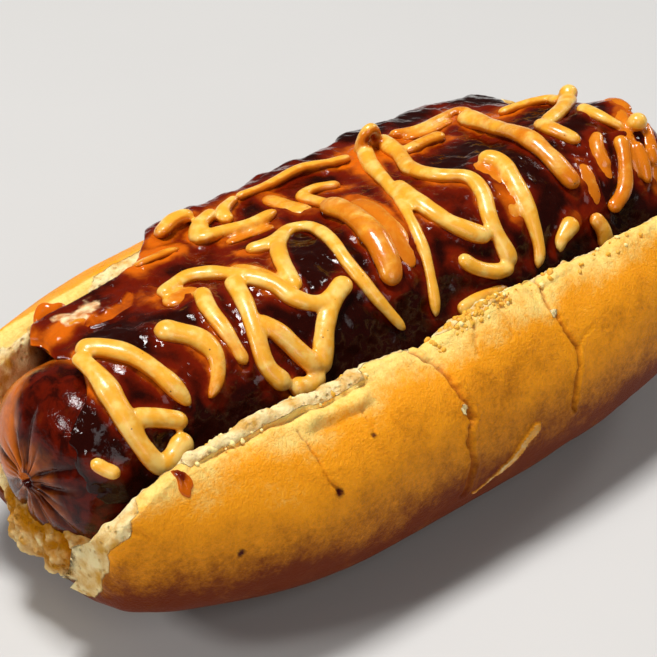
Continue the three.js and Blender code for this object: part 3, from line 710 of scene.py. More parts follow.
def torn_crumb(x, u, across, far, ragged, hinge_side):
    """1 on torn crumb and 0 on crust: both edges up to a ragged limit, the hinge where the left
    end is open, and the near left corner."""
    near_limit = mix(-2.5, 0.5, crumb_strip(x)) + 2.5 * between(x, *SECOND_RIDGE) + 0.7 * ragged
    far_limit = mix(0.2, -2.3, ramp(-34.0, -40.0, x)) + 0.6 * ragged
    crumb = np.minimum(ramp(0.35, -0.15, across - near_limit), ramp(0.35, -0.15, far - far_limit))
    crumb = np.maximum(crumb, ramp(0.972, 0.988, -u) * hinge_side)
    corner = ramp(-62.8, -64.4, x + 0.8 * ragged) * ramp(2.2, 0.8, across + 1.2 * ragged)
    corner = np.maximum(corner, ramp(-65.9, -66.25, x + 0.25 * ragged))
    return np.maximum(crumb, corner * (across > -CRUMB_WIDTH))


def crust_relief(grid, across, crumb, settings):
    """Broad dents on crust, sharp crags on crumb, ridges on the torn strip and a brittle rim
    along the near edge."""
    x = grid[..., 0]
    dents = settings.dent_height * (rough(grid, 16.0, 21, 2) + 0.25 * rough(grid, 4.0, 31, 2))
    crags = settings.crumb_height * (np.abs(rough(grid, 3.2, 41)) * 1.3 - 0.5)
    crags += 0.18 * settings.crumb_height * rough(grid, 0.9, 51, 2)
    lift = mix(dents, crags, crumb)
    beside_edge = across > -CRUMB_WIDTH
    strip = beside_edge * between(x, *STRIP)
    lift += strip * strip_relief(x, across) * (0.8 + 0.5 * rough(grid, 3.6, 97, 2))
    brittle = beside_edge * ramp(2.2, 0.0, np.abs(across + 0.4))
    return lift + 0.3 * brittle * rough(grid, 1.3, 221, 2)


def crack_relief(x, across, on_crust):
    """Height of the cracks and their painted shade: each is a bell-shaped groove about its path, darker the
    deeper it is, and a deep one has a low lip on both sides."""
    lift = np.zeros_like(x)
    dark_and_shade = np.zeros_like(x)
    for shaded_crack in CRACKS:
        gap = distance_to_path(x, across, shaded_crack["path"])
        line = on_crust * bump(gap, 0.0, shaded_crack["width"])
        lip = on_crust * bump(gap, 2.2 * shaded_crack["width"], shaded_crack["width"]) * (shaded_crack["depth"] > 0.0)
        lift += shaded_crack["depth"] * (0.3 * lip - line)
        dark_and_shade = np.maximum(dark_and_shade, line * np.clip(shaded_crack["depth"] * 1.8, 0.0, 1.0))
    return lift, dark_and_shade


def round_spots(x, across, spots, core):
    """1 on round spots, 0 elsewhere: each fades out from that share of its radius."""
    return np.maximum.reduce([ramp(radius, radius * core, np.hypot(x - px, across - py))
                              for (px, py), radius in spots])


def soaked_and_shade_share(x, face):
    """1 where the cut face is dark, partly as sauce soaked in and partly as painted shade between sausage
    and roll: inside a ragged circle about the sausage, from behind its left end to short of the right end."""
    y, z = face[..., 1], face[..., 2]
    limit = mix(25.0, 20.5, y > 0.0) + 1.5 * rough(face, 5.0, 95)
    start = mix(-60.0, -50.0, ramp(-4.0, 10.0, y))
    reach = ramp(start - 2.0, start + 2.0, x) * ramp(66.0, 60.0, x)
    return ramp(1.2, -1.2, about_sausage(y, z)[0] - limit) * reach


def hinge_mesh():
    """Lump of torn crumb under the left end of the sausage: a superellipsoid about the hinge,
    with crags along its normals."""
    rows, columns = 90, 150
    pole = 0.02
    polar = np.linspace(pole, np.pi - pole, rows)[:, None]
    angle = circle_angles(columns)
    ball = [-signed_power(np.cos(polar)) + 0.0 * angle,
            signed_power(np.sin(polar)) * signed_power(np.cos(angle)),
            signed_power(np.sin(polar)) * signed_power(np.sin(angle))]
    ball[2] = ball[2] + HINGE_CRUMB["droop"] / HINGE_CRUMB["half"][2] * ball[1] ** 2
    grid = HINGE_CRUMB["centre"] + np.stack(ball, axis=-1) * HINGE_CRUMB["half"]
    out = ring_normals(grid)
    crags = 1.5 * np.abs(rough(grid, 4.5, 181, 3)) + 0.45 * rough(grid, 1.1, 191, 3) - 0.5
    grid = grid + out * (crags * ramp(0.0, 0.25, np.sin(polar)))[..., None]
    grid[..., 2] = np.maximum(grid[..., 2], 1.0)
    even = np.ones((rows, columns))
    layers = {"crumb": even, "bake_and_shade": 0.3 * even,
              # Darker yellow in the hollows of the crags and higher up: partly moist dough, partly painted
              # shade in the hollows.
              "moist_and_shade": ramp(1.8, -0.2, crags) * ramp(9.0, 13.0, grid[..., 2])}
    return grid.reshape(-1, 3), ring_quads(rows, columns), end_caps(rows, columns), layers


def signed_power(value):
    """Power of a sine or cosine that keeps its sign, which makes the hinge's lump squarer."""
    return np.sign(value) * np.abs(value) ** HINGE_CRUMB["exponent"]


def edge_points(start, end, shares):
    """Points over a cut edge: straight from start to end, with a bulge of a half sine."""
    w = shares[None, :, None]
    bulge = np.array([0.0, 0.0, EDGE_BULGE]) * np.sin(np.pi * w)
    return mix(start[:, None, :], end[:, None, :], w) + bulge


def ring_normals(grid):
    """Outward unit normals of rings of points that are closed on themselves: away from the
    middle of the middle ring, judged where that ring starts."""
    wide = np.concatenate([grid[:, -1:], grid, grid[:, :1]], axis=1)
    normal = grid_normals(wide)[:, 1:-1]
    row = len(grid) // 2
    start = slice(0, 40)
    outwards = grid[row, start] - grid[row].mean(axis=0)
    return normal * np.sign(np.sum(normal[row, start] * outwards, axis=-1).mean())


def strip_relief(x, across):
    """Soft ridges of torn crumb along the near edge: one on the edge, a second beside it where
    more crust came off, each a bell curve that wanders, with grooves between them."""
    wander = 0.35 * rough(along_x(x), 7.0, 211, 3)
    second = between(x, *SECOND_RIDGE)
    ridge = 1.1 * bump(across, -1.3 + wander, 1.05) + 1.0 * second * bump(across, 1.8 + wander, 1.15)
    groove = 0.9 * bump(across, 0.3 + wander, 0.35) + 0.25 * second * bump(across, 3.5 + wander, 0.5)
    return ridge - groove


def bake_and_shade_level(grid, across, far):
    """0 for pale crust to 1 for brown: pale at the cut edges and underneath, deepest low down, where the
    darkening is partly baked colour and partly painted shade.
    """
    x, z = grid[..., 0], grid[..., 2]
    near = ramp(-1.5, 8.5, across + 2.2 * rough(grid, 9.0, 81, 3))
    back = ramp(-4.0, 4.0, far + 1.5 * rough(grid, 9.0, 85, 2))
    # Darker towards the bottom: partly baked colour, partly painted shade.
    low = ramp(28.0, 9.0, z)
    under = ramp(5.5, 0.5, z)
    ends = ramp(58.0, 66.0, np.abs(x))
    level = 0.1 + 0.4 * np.minimum(near, back) + 0.62 * low - 0.35 * under + 0.1 * ends
    return np.clip(level + 0.1 * rough(grid, 14.0, 91), 0.0, 1.0)


def crust_material(settings):
    """Baked crust from pale over golden to brown with fine leathery grain, and porous crumb; the brown low
    down is partly painted shade, and painted shade darkens the cracks, the ring round the flake, the pores,
    the hinge's hollows and, with soaked sauce, the cut face beside the sausage.
    """
    s = Shader("crust")
    bake_and_shade = s.attribute("bake_and_shade")
    crumb = s.step(s.attribute("crumb") + (s.noise(1.1) - 0.5) * 0.5, 0.3, 0.7)
    shaded_crack = s.attribute("shaded_crack")
    mottle = s.noise(5.0, 5.0, 0.62)
    freckle = s.noise(0.8, 4.0, 0.75)
    # The level darkens the crust low down, partly as baking and partly as painted shade.
    level = bake_and_shade + (mottle - 0.5) * 0.5 + (freckle - 0.5) * 0.45
    light = s.blend(s.step(level, 0.0, 0.42), settings.pale, settings.gold)
    crust = s.blend(s.step(level, 0.4, 1.0), light, settings.brown)
    # Painted shade in the cracks and round the flake.
    crust = s.blend(s.step(shaded_crack, 0.2, 1.0) * 0.75, crust, settings.shaded_crack)
    crust = s.blend(s.attribute("spot"), crust, settings.spot)
    pores = s.cells(1.3)
    deep = s.step(pores, 0.35, 0.0)
    inside = s.blend(s.step(s.noise(2.6, 4.0), 0.35, 0.75), settings.crumb, settings.crumb_shade)
    # Painted shade in the pores of the crumb.
    inside = s.blend(deep * 0.5, inside, settings.crumb_shade)
    # Moist yellow dough, with painted shade in the hollows of the hinge.
    inside = s.blend(s.attribute("moist_and_shade") * s.step(s.noise(3.0, 3.0), 0.2, 0.5), inside, settings.moist_and_shade)
    colour = s.blend(crumb, crust, inside)
    wet_and_shade = s.attribute("wet_and_shade")
    # Soaked sauce and painted shade on the cut face beside the sausage.
    colour = s.blend(wet_and_shade * 0.92, colour, settings.soaked_and_shade)
    grain = s.noise(0.4, 3.0, 0.7) * 0.65 + s.noise(1.8, 4.0, 0.6, 0.2) * 0.35
    skin = s.relief(grain, 0.4, 1.0)
    holes = (1.0 - deep) * 0.6 + s.noise(0.7, 4.0, 0.7) * 0.4
    normal = s.relief(holes * crumb, 0.7, 0.9, skin)
    return s.surface(
        Base_Color=colour,
        Roughness=0.44 + crumb * 0.36 + (mottle - 0.5) * 0.14 - wet_and_shade * 0.5,
        Normal=normal,
        Specular_IOR_Level=0.1,
        Subsurface_Weight=0.12,
        Subsurface_Radius=(1.0, 0.45, 0.2),
        Subsurface_Scale=0.0025,
    )


# ---- loose crumbs ----

# Stretches of the near edge with crumbs: start and end along x, share of all crumbs, and which
# share of them is golden crust.
CRUMB_STRETCHES = [
    {"x": (-7.5, 8.5), "share": 0.6, "golden": 0.9},
    {"x": (-54.0, -20.5), "share": 0.3, "golden": 0.2},
    {"x": (8.5, 40.0), "share": 0.1, "golden": 0.8},
]


class CrumbSettings(bpy.types.PropertyGroup):
    """Number and size of the loose crumbs."""
    count: count_property("Crumbs", "Number of loose crumbs", 300, 10, 600)
    largest: size_property("Largest crumb", "Radius of the largest crumb", 0.5, 0.3, 1.5)
    gold: colour_property("Golden crumb", "Crumbs of crust", 236, 170, 52)
    pale: colour_property("Pale crumb", "Crumbs from inside the roll", 252, 226, 150)


class HOTDOG_OT_crumbs(bpy.types.Operator):
    """Scatter loose crumbs over the torn edge"""
    bl_idname = "hotdog.crumbs"
    bl_label = "Crumbs"

    def execute(self, context):
        settings = context.scene.hotdog_crumbs
        piece = fill_mesh("crumbs", *crumbs_mesh(settings))
        finish_piece(piece, loose_crumb_material(settings), ["bun"])
        return {"FINISHED"}


def crumbs_mesh(settings):
    """Lumpy balls at random places on the near edge, one array for all of them: a ball of rings
    times each radius, pushed in and out by noise."""
    rng = np.random.default_rng(17)
    counts = [int(settings.count * stretch["share"]) for stretch in CRUMB_STRETCHES]
    x = np.concatenate([rng.uniform(*stretch["x"], n) for stretch, n in zip(CRUMB_STRETCHES, counts)])
    golden = np.repeat([stretch["golden"] for stretch in CRUMB_STRETCHES], counts) > rng.random(len(x))
    across = rng.uniform(-2.6, 0.2, len(x))
    radius = settings.largest * rng.uniform(0.3, 1.0, len(x)) ** 1.5
    base, out = edge_surface(x[:, None], across[:, None], True)
    centre = base[:, 0] - out[:, 0] * (0.15 * radius)[:, None]
    rows, columns = 8, 10
    pole = 0.15
    polar = np.linspace(pole, np.pi - pole, rows)[:, None]
    angle = circle_angles(columns)
    ball = np.stack([np.sin(polar) * np.cos(angle), np.sin(polar) * np.sin(angle),
                     np.cos(polar) + 0.0 * angle], axis=-1)
    middle = centre[:, None, None, :]
    reach = ball * radius[:, None, None, None]
    points = middle + reach * (1.0 + 0.6 * noise(middle + reach, 0.5, 241)[..., None])
    first = np.arange(len(x)) * rows * columns
    quads = (ring_quads(rows, columns)[None] + first[:, None, None]).reshape(-1, 4)
    caps = [end + start for start in first for end in end_caps(rows, columns)]
    layers = {"golden": golden[:, None, None] * np.ones(points.shape[:-1])}
    return points.reshape(-1, 3), quads, caps, layers


def loose_crumb_material(settings):
    """Soft crumbs, some of golden crust and some pale."""
    s = Shader("loose_crumb")
    tone = s.noise(1.3, 3.0, 0.6)
    golden = s.step(s.attribute("golden") * 0.7 + tone, 0.6, 1.2)
    return s.surface(
        Base_Color=s.blend(golden, settings.pale, settings.gold),
        Roughness=0.35 + tone * 0.3,
        Normal=s.relief(s.noise(0.4, 2.0), 0.1, 0.5),
        Specular_IOR_Level=0.3,
        Subsurface_Weight=0.2,
        Subsurface_Radius=(1.0, 0.5, 0.2),
        Subsurface_Scale=0.0015,
    )


# ---- sausage ----

class SausageSettings(bpy.types.PropertyGroup):
    """Sizes and colours of the sausage."""
    folds: count_property("Folds", "Pairs of a strong and a faint crease about each knot", 9, 4, 24)
    fold_depth: size_property("Fold depth", "Depth of creases and pleats", 0.75, 0.0, 1.2)
    casing: colour_property("Casing", "Smoked casing", 206, 104, 22)
    # Also the painted shade in the folds and pleats, besides the dark part of the glaze.
    dark_and_shade: colour_property("Dark casing", "Casing in the folds", 46, 6, 2)
    film: colour_property("Glazed casing", "Casing under a film of sauce", 92, 17, 3)


class HOTDOG_OT_sausage(bpy.types.Operator):
    """Build the sausage with its gathered casing ends"""
    bl_idname = "hotdog.sausage"
    bl_label = "Sausage"

    def execute(self, context):
        settings = context.scene.hotdog_sausage
        piece = fill_mesh("sausage_body", *sausage_mesh(settings))
        finish_piece(piece, casing_material(settings), ["sausage"])
        return {"FINISHED"}


def sausage_profile():
    """Stations along the sausage as x and radius: the dimple of the knot, a superellipse cap,
    the straight body and the same at the other end."""
    t = np.linspace(0.5 * np.pi, 0.0, 60)
    depth = SAUSAGE_CAP * (1.0 - np.sin(t) ** (2.0 / SAUSAGE_CAP_EXPONENT))
    radius = SAUSAGE_RADIUS * np.cos(t) ** (2.0 / SAUSAGE_CAP_EXPONENT)
    outside = radius > KNOT_RADIUS
    dimple_r = np.linspace(0.2, 1.0, 8) * KNOT_RADIUS
    dimple = KNOT_DEPTH * (1.0 - (dimple_r / KNOT_RADIUS) ** 2)
    edge = depth[outside][0]
    left_x = np.concatenate([dimple + edge * (dimple_r / KNOT_RADIUS) ** 2, depth[outside]])
    left_r = np.concatenate([dimple_r, radius[outside]])
    body = np.linspace(SAUSAGE_ENDS[0] + SAUSAGE_CAP, SAUSAGE_ENDS[1] - SAUSAGE_CAP, 262)[1:-1]
    x = np.concatenate([SAUSAGE_ENDS[0] + left_x, body, (SAUSAGE_ENDS[1] - left_x)[::-1]])
    r = np.concatenate([left_r, np.full(len(body), SAUSAGE_RADIUS), left_r[::-1]])
    return x, r


def sausage_mesh(settings):
    """Surface of revolution, pushed in and out along its normals. Pleats about each knot are
    the absolute value of a sine, so ridges are round and valleys sharp; creases run out from
    them along the body; low noise swells the body."""
    x, r = sausage_profile()
    rows, columns = len(x), 240
    angle = circle_angles(columns)
    tip = np.minimum(x - SAUSAGE_ENDS[0], SAUSAGE_ENDS[1] - x)[:, None]
    walked = np.cumsum(np.hypot(np.gradient(x), np.gradient(r)))
    walked = np.minimum(walked, walked[-1] - walked)[:, None]
    share = (r / SAUSAGE_RADIUS)[:, None]
    crease = casing_creases(settings.folds, r[:, None], walked, angle) * ramp(0.1, 0.24, share)
    wavy = angle + 0.12 * np.sin(3.0 * angle + 1.0) + 0.08 * np.sin(5.0 * angle)
    pleats = 1.0 - np.abs(np.sin(0.5 * PLEATS * wavy)) ** 0.7
    pleats = pleats * ramp(9.0, 2.5, walked) * ramp(0.05, 0.2, share)
    ring = around_axis(x[:, None] + 0.0 * angle, r[:, None], angle)
    swell = 0.18 * rough(ring, 12.0, 101, 2) + 0.07 * rough(ring, 2.5, 111, 2)
    height = np.minimum(swell, 0.1) * ramp(0.3, 1.0, share)
    height = height - settings.fold_depth * np.maximum(crease, 0.8 * pleats)
    slope = np.stack([-np.gradient(r), np.gradient(x)])
    out_x, out_r = (slope / np.linalg.norm(slope, axis=0))[:, :, None]
    ring = around_axis(x[:, None] + out_x * height, r[:, None] + out_r * height, angle)
    clear_side = np.abs(angle_between(angle, 0.4 * np.pi))
    film = ramp(0.4, 1.05, clear_side) * ramp(14.0, 10.0, tip)
    worn = ramp(12.0, 4.0, walked + 1.5 * rough(ring, 5.0, 121, 2)) * ramp(1.0, 3.0, walked)
    # The crease layer darkens the colour in creases and pleats as painted shade.
    layers = {"crease": np.maximum(crease, pleats), "film": film * (1.0 - 0.45 * worn)}
    return ring.reshape(-1, 3), ring_quads(rows, columns), end_caps(rows, columns), layers


def casing_creases(folds, r, walked, angle):
    """Sharp bell-shaped creases at uneven angles about both knots, every second one strong,
    which bend a little and fade with the distance walked from the knot."""
    rng = np.random.default_rng(5)
    crease = np.zeros((len(r), len(angle)))
    for k in range(folds * 2):
        at = 2.0 * np.pi * (k + rng.uniform(-0.3, 0.3)) / (folds * 2)
        strong = 1.0 if k % 2 == 0 else 0.5
        reach = rng.uniform(12.0, 20.0) * strong
        bend = rng.uniform(-0.02, 0.02) * walked
        width = 0.45 + 0.04 * walked
        gap = np.abs(angle_between(angle, at + bend)) * np.maximum(r, 1.0) / width
        fade = ramp(reach, reach * 0.3, walked)
        crease = np.maximum(crease, strong * fade * np.exp(-gap ** 1.4))
    return crease


def angle_between(angle, other):
    """Turn from one angle to another, between minus and plus half a circle."""
    return np.angle(np.exp(1j * (angle - other)))


def around_axis(x, radius, angle):
    """Points at a radius and an angle from the top about the sausage's axis."""
    return np.stack([x, radius * np.sin(angle), SAUSAGE_AXIS_Z + radius * np.cos(angle)], axis=-1)


def casing_material(settings):
    """Glossy smoked casing, orange-brown on the bulges, with painted shade in the folds and pleats."""
    s = Shader("casing")
    crease = s.attribute("crease")
    smoke = s.noise(7.0, 4.0, 0.6, 0.3)
    fine = s.noise(1.2, 4.0, 0.65)
    # Painted shade in the creases and pleats, with darker smoky patches and a fine mottle.
    dark_and_shade = crease * 0.9 + s.step(smoke, 0.4, 0.75) * 0.45 + (fine - 0.5) * 0.4
    film = s.step(s.attribute("film") + (s.noise(4.0, 4.0) - 0.5) * 0.9, 0.25, 0.9)
    glaze = s.blend(s.step(s.noise(2.6, 4.0, 0.6, 0.6), 0.35, 0.65), settings.dark_and_shade, settings.film)
    colour = s.blend(film, settings.casing, glaze)
    colour = s.blend(dark_and_shade, colour, settings.dark_and_shade)
    lumps = s.noise(0.9, 3.0, 0.6, 0.5) * 0.5 + s.noise(2.4, 3.0, 0.6, 0.8) * film * 0.6
    wrinkle = s.relief(lumps, 0.3, 0.5)
    return s.surface(
        Base_Color=colour,
        Roughness=0.08 + fine * 0.08,
        Normal=wrinkle,
        Coat_Weight=0.05,
        Coat_Roughness=0.02,
        Specular_IOR_Level=0.16,
        Subsurface_Weight=0.08,
        Subsurface_Radius=(1.0, 0.3, 0.1),
        Subsurface_Scale=0.002,
    )


# ---- mustard ----

# Each strand: radius as a share of STRAND_RADIUS and stain by the sauce at its start and end,
# then the (x, a) places on the topping surface that it passes through.
STRANDS = [
    # left end: tall loop, its cross bar and the short end below
    {"size": (0.95, 0.8), "stain": (0.1, 0.4), "path": [
        (-53, 2), (-50, 0), (-47.5, -3.5), (-45.5, -9), (-44, -14)]},
    {"size": (0.85, 0.9), "stain": (0.1, 0.15), "path": [
        (-53.5, 1), (-54, -5), (-54.5, -10.5), (-54, -16), (-52.5, -19), (-50, -19), (-46.5, -17)]},
    {"size": (0.75, 0.75), "stain": (0, 0.1), "path": [(-54, -11.5), (-49.5, -13.5), (-45.5, -15.7)]},
    {"size": (0.6, 0.6), "stain": (0.1, 0.3), "path": [(-61, -14.5), (-60, -16.5), (-58.5, -18)]},
    {"size": (1.2, 0.4), "stain": (0, 0.6), "path": [
        (-41, -1), (-39, -3), (-36.5, -6), (-36, -9), (-37.5, -12), (-40.5, -14.5)]},
    # fan of strands running down from the arc
    {"size": (0.7, 0.65), "stain": (0.1, 0.3), "path": [
        (-29, 2.5), (-31.5, -2), (-32.3, -7), (-32.5, -12.5)]},
    {"size": (0.7, 0.8), "stain": (0, 0.2), "path": [
        (-34, 6), (-31, 7), (-27.5, 7.5), (-24.5, 5.5), (-22.5, 1), (-20, -3.5), (-19, -7),
        (-15.5, -9.5), (-9, -8)]},
    {"size": (0.8, 0.8), "stain": (0.2, 0.3), "path": [
        (-24, 1.5), (-26.5, -4.5), (-28.5, -9.5), (-29.5, -14), (-27.5, -18)]},
    {"size": (0.75, 0.8), "stain": (0.3, 0.4), "path": [(-27, -7), (-25, -10.5), (-23, -15), (-21, -18)]},
    {"size": (0.8, 0.8), "stain": (0.3, 0.3), "path": [(-27.5, -18), (-24, -19), (-21, -18)]},
    # ring, its tail and the leg below it
    {"size": (0.7, 0.6), "stain": (0, 0.1), "path": [
        (-16, 7.5), (-12, 6), (-6.5, 7.5), (-4.5, 6), (-5.5, 0), (-7, -6), (-6.5, -12), (-4, -18.5)]},
    {"size": (0.65, 0.75), "stain": (0.1, 0.25), "path": [(-8.5, 7), (-11.8, 4.5), (-15.2, 0), (-17.5, -6)]},
    {"size": (0.75, 0.75), "stain": (0.1, 0.2), "path": [
        (-9, -8), (-13, -9.5), (-17, -12.5), (-20, -16.5), (-21, -18.5)]},
    # along the far edge
    {"size": (0.75, 0.8), "stain": (0.4, 0.1), "path": [(-23, 20), (-18.5, 22), (-14.5, 22)]},
    {"size": (0.8, 0.7), "stain": (0.1, 0.2), "path": [
        (-11.5, 20.5), (-16, 18.5), (-18, 15.5), (-15, 15), (-9, 13.5), (-4, 14)]},
    {"size": (0.65, 0.65), "stain": (0.2, 0.2), "path": [(-6, 21.5), (-10.5, 19.5), (-11.5, 16.5)]},
    {"size": (0.6, 0.6), "stain": (0.3, 0.3), "path": [
        (-6, 21.5), (0, 21), (8, 21.5), (13, 20), (17, 19.5)]},
    {"size": (0.7, 0.7), "stain": (0.3, 0.5), "path": [(9, 13), (5, 15), (2, 14.5), (2.5, 11), (3, 5.5)]},
    # wide stained strand
    {"size": (1, 1.05), "stain": (0.6, 0.75), "path": [
        (2, 9.5), (1.5, 2.5), (0, -4), (-1.5, -9), (-3, -12)]},
    # long pair from the loop that stands up on the far edge
    {"size": (0.75, 0.5), "stain": (0.15, 0.15), "path": [
        (22, 22), (18, 16), (13, 5.5), (8.5, -3), (6, -9.5), (4, -15), (2.5, -19)]},
    {"size": (0.75, 0.8), "stain": (0.1, 0.15), "path": [
        (14.5, 6), (12, -1), (13, -7), (16, -10.5), (18.5, -12)]},
    {"size": (0.8, 0.75), "stain": (0.4, 0.1), "path": [
        (25.5, 22), (23.5, 15), (20, 8), (20, 2), (23, -1.5), (22.5, -5), (20, -10), (20, -17.5)]},
    {"size": (0.95, 0.65), "stain": (0.1, 0.1), "path": [
        (29, 2), (30.5, -1), (29, -6), (27.5, -12), (26, -17.5), (24.5, -19.5)]},
    {"size": (0.65, 0.65), "stain": (0.1, 0.2), "path": [(11, -12.5), (13, -15), (16.5, -17), (20, -17.5)]},
    {"size": (0.7, 0.45), "stain": (0.1, 0.3), "path": [(7, -20), (11, -19.5), (18, -20)]},
    {"size": (0.9, 0.6), "stain": (0.35, 0.05), "path": [
        (35.5, -15.5), (33, -16.5), (31, -17.5), (30, -19)]},
    {"size": (0.8, 0.85), "stain": (0.6, 0.2), "path": [(39, -16), (40, -19), (40, -22)]},
    # right third, down to the end
    {"size": (1, 1), "stain": (0.3, 0.75), "path": [
        (42, 19), (40.5, 10), (38.5, 0), (38, -6), (38.5, -11.5)]},
    {"size": (0.55, 0.6), "stain": (0.2, 0.2), "path": [(47.5, 15.5), (53, 15), (57.5, 13.5), (56.5, 10)]},
    {"size": (0.8, 0.8), "stain": (0.2, 0.3), "path": [(58, 9), (52, 5), (45, 2)]},
    {"size": (0.6, 0.55), "stain": (0.2, 0.3), "path": [(54, 3), (53.5, -2), (55, -6)]},
    {"size": (0.75, 0.75), "stain": (0.3, 0.4), "path": [(45, 4), (44, 0), (45.5, -5)]},
    {"size": (0.7, 0.7), "stain": (0.5, 0.5), "path": [(24.5, 14.5), (28.5, 15), (34, 15)]},
    {"size": (0.6, 0.6), "stain": (0.5, 0.4), "path": [
        (28, 22), (33, 20.5), (40, 21.5), (44.5, 22), (44, 19)]},
    {"size": (0.55, 0.5), "stain": (0.6, 0.5), "path": [(50, -4.5), (47.5, -7.5), (47, -11)]},
    {"size": (0.7, 0.7), "stain": (0.6, 0.7), "path": [(53, -7), (50.5, -11), (47.5, -15), (43, -17)]},
    {"size": (0.6, 0.6), "stain": (0.9, 0.9), "path": [(55, -9), (54, -12.5), (53, -16)]},
    {"size": (0.55, 0.5), "stain": (1, 1), "path": [(57, -10.5), (56, -14)]},
]

# Low smears of mustard under the sauce: half width in millimetres, stain and places.
SMEARS = [
    {"width": 2.2, "stain": 0.8, "path": [(7, 8), (5.5, 2), (4, -4), (2.5, -11)]},
    {"width": 2.3, "stain": 0.4, "path": [(-21.5, 5.5), (-20.6, 2), (-19.8, -2), (-19.2, -5)]},
    {"width": 2.0, "stain": 0.7, "path": [(-35, 3.6), (-31.5, 4.2), (-28.2, 3.4)]},
    {"width": 2.0, "stain": 0.5, "path": [(-2, 19.6), (-1, 14.6), (0, 9.5)]},
    {"width": 1.3, "stain": 0.5, "path": [(-50.5, 9.5), (-47.4, 10.6), (-44.6, 9.8)]},
    {"width": 1.6, "stain": 0.6, "path": [(-31, 16.5), (-26.4, 16.6), (-21.8, 16.4)]},
    {"width": 1.5, "stain": 0.75, "path": [(49, -4.5), (47.4, -8), (46.2, -11), (45.6, -13.5)]},
    {"width": 1.6, "stain": 0.8, "path": [(43.2, -8), (41.8, -12), (41.3, -16)]},
    {"width": 1.7, "stain": 0.6, "path": [(29, 20), (33, 19), (37, 19.6), (41, 20.4)]},
    {"width": 1.5, "stain": 0.7, "path": [(-16, 12.6), (-11, 12), (-6.5, 11.4)]},
    {"width": 1.4, "stain": 0.8, "path": [(27.6, 2), (27.2, -3), (26, -8), (25.2, -12)]},
    {"width": 1.5, "stain": 0.9, "path": [(58.6, -2), (55.4, -6), (53.6, -10.6), (52.4, -15)]},
    {"width": 1.3, "stain": 1.0, "path": [(60.4, -6), (58.2, -9.6), (56.4, -13.6), (55.2, -17.5)]},
    {"width": 1.3, "stain": 1.0, "path": [(61.2, 4), (60.4, 0), (59.6, -3.5)]},
]
# Loop of mustard that stands on the far edge, and blobs lifted off the surface.
STANDING_LOOP = {"x": 22.0, "a": 21.0, "height": 5.8, "reach": 1.9, "lean": 0.6, "radius": 1.05}
KNOBS = [
    {"x": 58.5, "a": 9.5, "lift": 1.6, "radius": 1.6},
    {"x": 57.5, "a": -6.5, "lift": 1.3, "radius": 1.65},
]
# Strands and smears whose middle lies right of this x belong to the right piece.
PIECES_MEET = -1.0
STRAND_STEP = 0.4


class MustardSettings(bpy.types.PropertyGroup):
    """Sizes and colours of the mustard."""
    radius: size_property("Strand radius", "Radius of the thickest strands", STRAND_RADIUS, 1.0, 2.5)
    voxel: size_property("Mesh size", "Width of a face of the merged strands", 0.3, 0.25, 1.0)
    yellow: colour_property("Mustard", "Clean mustard", 240, 170, 46)
    pale: colour_property("Pale mustard", "Lightest mustard", 247, 202, 104)
    # Both stain colours also cover the lower flanks of the strands, partly as sauce and partly as painted
    # shade.
    stain: colour_property("Stained mustard", "Mustard coated by the sauce", 212, 116, 14)
    deep: colour_property("Deep stain", "Mustard under a thick coat of sauce", 112, 30, 3)
    speck: colour_property("Specks", "Spice in the mustard", 96, 48, 16)


class HOTDOG_OT_mustard(bpy.types.Operator):
    """Build the mustard strands, their standing loop and knobs, merged where they touch"""
    bl_idname = "hotdog.mustard"
    bl_label = "Mustard"

    def execute(self, context):
        settings = context.scene.hotdog_mustard
        material = mustard_material(settings)
        for name, side in (("mustard_left", -1), ("mustard_right", 1)):
            tubes = [tube for tube in mustard_tubes(settings) if tube["side"] == side]
            piece = merged_tubes(name, tubes, settings.voxel)
            finish_piece(piece, material, ["sauce"])
        return {"FINISHED"}


def smooth_path(points, step):
    """Points at equal steps on a Catmull-Rom curve with centripetal knots: each stretch is the
    cubic through its two ends with the tangents that their neighbours give."""
    p = np.asarray(points, dtype=float)
    p = np.vstack([2.0 * p[0] - p[1], p, 2.0 * p[-1] - p[-2]])
    knots = np.concatenate([[0.0], np.cumsum(np.linalg.norm(np.diff(p, axis=0), axis=1) ** 0.5)])
    pieces = []
    for k in range(1, len(p) - 2):
        t0, t1, t2, t3 = knots[k - 1:k + 3]
        t = np.linspace(t1, t2, 40)[:, None]
        a1 = mix(p[k - 1], p[k], (t - t0) / (t1 - t0))
        a2 = mix(p[k], p[k + 1], (t - t1) / (t2 - t1))
        a3 = mix(p[k + 1], p[k + 2], (t - t2) / (t3 - t2))
        b1 = mix(a1, a2, (t - t0) / (t2 - t0))
        b2 = mix(a2, a3, (t - t1) / (t3 - t1))
        pieces.append(mix(b1, b2, (t - t1) / (t2 - t1)))
    dense = np.concatenate(pieces)
    length = walked_length(dense)
    places = np.linspace(0.0, length[-1], max(4, int(length[-1] / step)))
    return np.stack([np.interp(places, length, dense[:, k]) for k in range(3)], axis=-1)


def on_topping(x, a, lift):
    """Points above the topping surface."""
    points, out = coat_surface(np.asarray(x, float), np.asarray(a, float))
    return points + out * np.asarray(lift)[..., None]


def mustard_tubes(settings):
    """Centre lines with radius, flatness and stain of everything that was squeezed out."""
    tubes = [strand_tube(strand, number, settings.radius) for number, strand in enumerate(STRANDS)]
    tubes += [smear_tube(smear, number) for number, smear in enumerate(SMEARS)]
    tubes.append(standing_loop(STANDING_LOOP))
    tubes += [knob_tube(knob) for knob in KNOBS]
    return tubes


